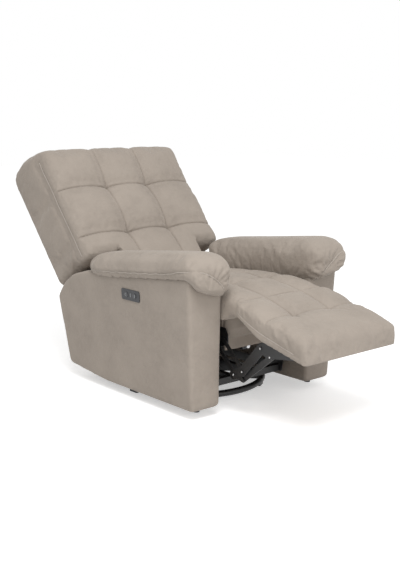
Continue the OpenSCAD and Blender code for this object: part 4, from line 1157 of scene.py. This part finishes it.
# %% [markdown]
# ## The arms
# An arm is a covered wooden box: its cover lies flat, with soft edges, and its outer side leans out
# a little towards the top. The side's outline is extruded and its edges bevelled, which keeps the
# faces flat where a swollen cushion would bulge.

# %% Arms
ARM_INNER = 0.246
ARM_OUTER = 0.395
ARM_FLARE = 0.026
ARM_LOW = 0.035
ARM_RISE = 0.541
ARM_OUTLINE = (
    (-0.472, ARM_LOW), (0.124, ARM_LOW), (0.393, 0.061), (0.460, 0.368), (0.405, 0.434),
    (0.330, 0.482), (0.224, 0.511), (-0.484, 0.576),
)


def arm_side(z):
    """How far out the arm's outer face is at a height."""
    return ARM_OUTER + ARM_FLARE * (z - ARM_LOW) / ARM_RISE


def arm_cover(name, node, side):
    work = bmesh.new()
    corners = [work.verts.new((ARM_INNER, y + AXIS_Y, z)) for y, z in ARM_OUTLINE]
    face = work.faces.new(corners)
    moved = bmesh.ops.extrude_face_region(work, geom=[face])["geom"]
    for vert in [g for g in moved if isinstance(g, bmesh.types.BMVert)]:
        vert.co.x = arm_side(vert.co.z)
    bmesh.ops.recalc_face_normals(work, faces=work.faces)
    bmesh.ops.bevel(work, geom=list(work.edges) + list(work.verts), offset=0.015, segments=4,
                    profile=0.5, affect="EDGES", material=-1, clamp_overlap=True)
    if side < 0:
        bmesh.ops.scale(work, vec=(-1, 1, 1), verts=work.verts)
        bmesh.ops.reverse_faces(work, faces=work.faces)
    piece = joined(name, [work])
    even_mesh(piece, voxel=0.009)
    relax(piece, passes=4)
    refine(piece)
    finish_soft(piece, "chassis")
    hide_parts(node)


arm_cover("left_arm_cover", "left_arm", 1)
arm_cover("right_arm_cover", "right_arm", -1)

# %% [markdown]
# ## The arm pads
# Each pad is a full roll that hangs over both sides of the arm and closes over its front, where the
# cover is gathered into the seam. The roll is filled like a cushion; the gathers are ripples that
# fan out from the middle of its front end.

# %% Arm pads
PAD_SEAM = (
    (0.435, 0.165, 0.520), (0.45, -0.1, 0.545), (0.45, -0.35, 0.570), (0.445, -0.46, 0.596),
    (0.415, -0.515, 0.604), (0.37, -0.54, 0.595), (0.335, -0.545, 0.575), (0.29, -0.54, 0.535),
    (0.262, -0.515, 0.50),
)
# Further out than this the pad's underside is not held by the arm.
PAD_OVERHANG = 0.42
GATHERS_AT = (0.32, -0.54 + AXIS_Y, 0.52)


def ripples(piece, centre, radius, waves, depth, spread):
    """Small gathers that fan out from a centre, as where a cover is drawn into a seam."""
    points = points_of(piece.data)
    away = points - np.array(centre)
    far = np.linalg.norm(away, axis=1)
    angle = np.arctan2(away[:, 2], away[:, 0])
    size = bell(far - radius, spread)
    push = depth * size * np.sin(waves * angle + 9.0 * far / radius)
    put_points(piece.data, points + normals_of(piece.data) * push[:, None])


def pad_cover(name, node, side):
    piece = joined(name, [solid_of(node)])
    even_mesh(piece, voxel=0.0068)
    relax(piece, passes=6)
    route = [(side * x, y + AXIS_Y, z) for x, y, z in PAD_SEAM]
    seam = on_surface(piece, route)
    points = points_of(piece.data)
    held = bell(distance_to([seam], points), 0.01)
    on_arm = np.abs(points[:, 0]) < PAD_OVERHANG
    held[on_arm & (normals_of(piece.data)[:, 2] < -0.3)] = 1
    swell(piece, held, cap=0.009)
    refine(piece)
    press_in(piece, [seam], depth=0.005, width=0.006)
    x, y, z = GATHERS_AT
    ripples(piece, (side * x, y, z), radius=0.075, waves=16, depth=0.0016, spread=0.035)
    cord = on_surface(piece, route)
    finish_soft(piece, "chassis")
    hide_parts(node)
    welt_cord(name.replace("cover", "welt"), [cord], radius=0.002, body="chassis")


pad_cover("left_arm_pad_cover", "left_arm_pad", 1)
pad_cover("right_arm_pad_cover", "right_arm_pad", -1)

# %% [markdown]
# ## Front fascia and rear panel
# Two covered boards close the body between the arms. Each is a thin box whose cover is drawn over
# softened edges. The front one is full above its seam, where filling hangs over the frame's edge,
# and flat in the band below; the rear one bulges a little all over.


# %% Covered boards
def covered_board(name, node, facing, bulge, seam_z=None):
    """A board whose cover bulges on the face towards -y or +y, by the bulge at each height."""
    low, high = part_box(node)
    work = bmesh.new()
    bmesh.ops.create_cube(work, size=1)
    bmesh.ops.scale(work, vec=high - low, verts=work.verts)
    bmesh.ops.translate(work, vec=(low + high) / 2, verts=work.verts)
    bmesh.ops.bevel(work, geom=list(work.edges), offset=0.004, segments=3, profile=0.5,
                    affect="EDGES", material=-1)
    piece = joined(name, [work])
    even_mesh(piece, voxel=0.0055)
    points = points_of(piece.data)
    shown = np.clip(normals_of(piece.data)[:, 1] * facing * 3, 0, 1)
    across = np.clip(1 - np.abs(points[:, 0] / high.x) ** 8, 0, 1)
    height = (points[:, 2] - low.z) / (high.z - low.z)
    points[:, 1] += facing * bulge(height) * across * shown
    put_points(piece.data, points)
    refine(piece)
    if seam_z:
        y = low.y - 0.01
        seam = on_surface(piece, [(-0.2, y, seam_z), (0.2, y, seam_z)])
        press_in(piece, [seam], depth=0.0045, width=0.006)
    finish_soft(piece, "chassis")
    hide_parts(node)


def fascia_bulge(height):
    return 0.004 + 0.030 * rises(height, 0.32, 0.35) ** 0.7


def rear_bulge(height):
    return 0.007 * np.sin(np.pi * np.clip(height, 0, 1)) ** 0.5


covered_board("seat_fascia_cover", "seat_fascia", -1, fascia_bulge, seam_z=0.292)
covered_board("rear_panel_cover", "rear_panel", 1, rear_bulge)

# %% [markdown]
# ## Rivets
# The links turn on riveted pins, whose zinc heads stay bright while the links are enamelled. Each
# head is a flattened ball on the outer face of its link, and rides with that link.

# %% Rivets
RIVET_RADIUS = 0.0042
PIVOTS = {
    "elbow": ("first_link", -0.562, 0.192, "first_links"),
    "cross": ("second_link", -0.513, 0.170, "second_links"),
    "heel": ("wide_link", -0.668, 0.308, "wide_links"),
    "toe": ("footrest_bracket", -0.717, 0.283, "footrest"),
}


def rivet_head(name, place, body):
    work = bmesh.new()
    bmesh.ops.create_uvsphere(work, u_segments=20, v_segments=12, radius=RIVET_RADIUS)
    bmesh.ops.scale(work, vec=(0.4, 1, 1), verts=work.verts)
    bmesh.ops.translate(work, vec=place, verts=work.verts)
    piece = joined(name, [work])
    piece.data.polygons.foreach_set("use_smooth", [True] * len(piece.data.polygons))
    piece.data.materials.append(zinc)
    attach(piece, body)


for pivot, (part, y, z, body) in PIVOTS.items():
    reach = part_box("left_" + part)[1].x
    for side, sign in (("left", 1), ("right", -1)):
        rivet_head(side + "_" + pivot + "_rivet", (sign * reach, y + AXIS_Y, z), body)
print("rivets", len(PIVOTS) * 2)

# %% [markdown]
# ## Marks on the switch plate
# The switch plate has a slot between two round buttons, and each button carries a raised crescent,
# so that a hand finds it without looking. A small square swept round the button's middle makes the
# crescent. It rides on its button and presses in with it.

# %% Switch marks
plate_low, plate_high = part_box("switch_plate")
SWITCH_Y = (plate_low.y + plate_high.y) / 2
SWITCH_Z = 0.454
PLATE_THICK = 0.003
LEAN_OUT = math.atan2(ARM_FLARE, ARM_RISE)
BUTTON_ALONG = 0.027
BUTTON_PROUD = 0.0018
MARK_RADIUS = 0.0052
MARK_WIDTH = 0.0018
MARK_HIGH = 0.0005
MARK_SWEEP = 2.4
SLOT_SIZE = (0.0008, 0.0035, 0.016)


def on_switch(along, proud):
    """A place on the switch plate's middle line: along the arm and out of the plate, in metres."""
    centre = Vector((-arm_side(SWITCH_Z), SWITCH_Y + along, SWITCH_Z))
    out = Vector((-math.cos(LEAN_OUT), 0, math.sin(LEAN_OUT)))
    return centre + out * (PLATE_THICK + proud)


def raised_arc(name, along, turn, body):
    work = bmesh.new()
    centre = on_switch(along, BUTTON_PROUD)
    outward = (on_switch(along, 1) - centre).normalized()
    first = Matrix.Rotation(turn - MARK_SWEEP / 2, 3, outward) @ Vector((0, 1, 0))
    inner_edge = MARK_RADIUS
    outer_edge = MARK_RADIUS + MARK_WIDTH
    corners = [(inner_edge, 0), (outer_edge, 0), (outer_edge, MARK_HIGH), (inner_edge, MARK_HIGH)]
    verts = [work.verts.new(centre + first * r + outward * h) for r, h in corners]
    face = work.faces.new(verts)
    bmesh.ops.spin(work, geom=[face], cent=centre, axis=outward, angle=MARK_SWEEP, steps=12)
    bmesh.ops.recalc_face_normals(work, faces=work.faces)
    piece = joined(name, [work])
    piece.data.materials.append(mark)
    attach(piece, body)


raised_arc("front_button_mark", -BUTTON_ALONG, math.pi, "front_button")
raised_arc("rear_button_mark", BUTTON_ALONG, 0.0, "rear_button")
slot = bmesh.new()
bmesh.ops.create_cube(slot, size=1)
bmesh.ops.scale(slot, vec=SLOT_SIZE, verts=slot.verts)
bmesh.ops.bevel(slot, geom=list(slot.edges), offset=0.0003, segments=2, profile=0.5,
                affect="EDGES", material=-1)
bmesh.ops.rotate(slot, cent=(0, 0, 0), matrix=Matrix.Rotation(-LEAN_OUT, 3, "Y"), verts=slot.verts)
bmesh.ops.translate(slot, vec=on_switch(0, 0.0002), verts=slot.verts)
slot = joined("switch_slot", [slot])
slot.data.materials.append(mark)
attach(slot, "chassis")
print("switch middle at", tuple(round(v, 3) for v in on_switch(0, 0)))
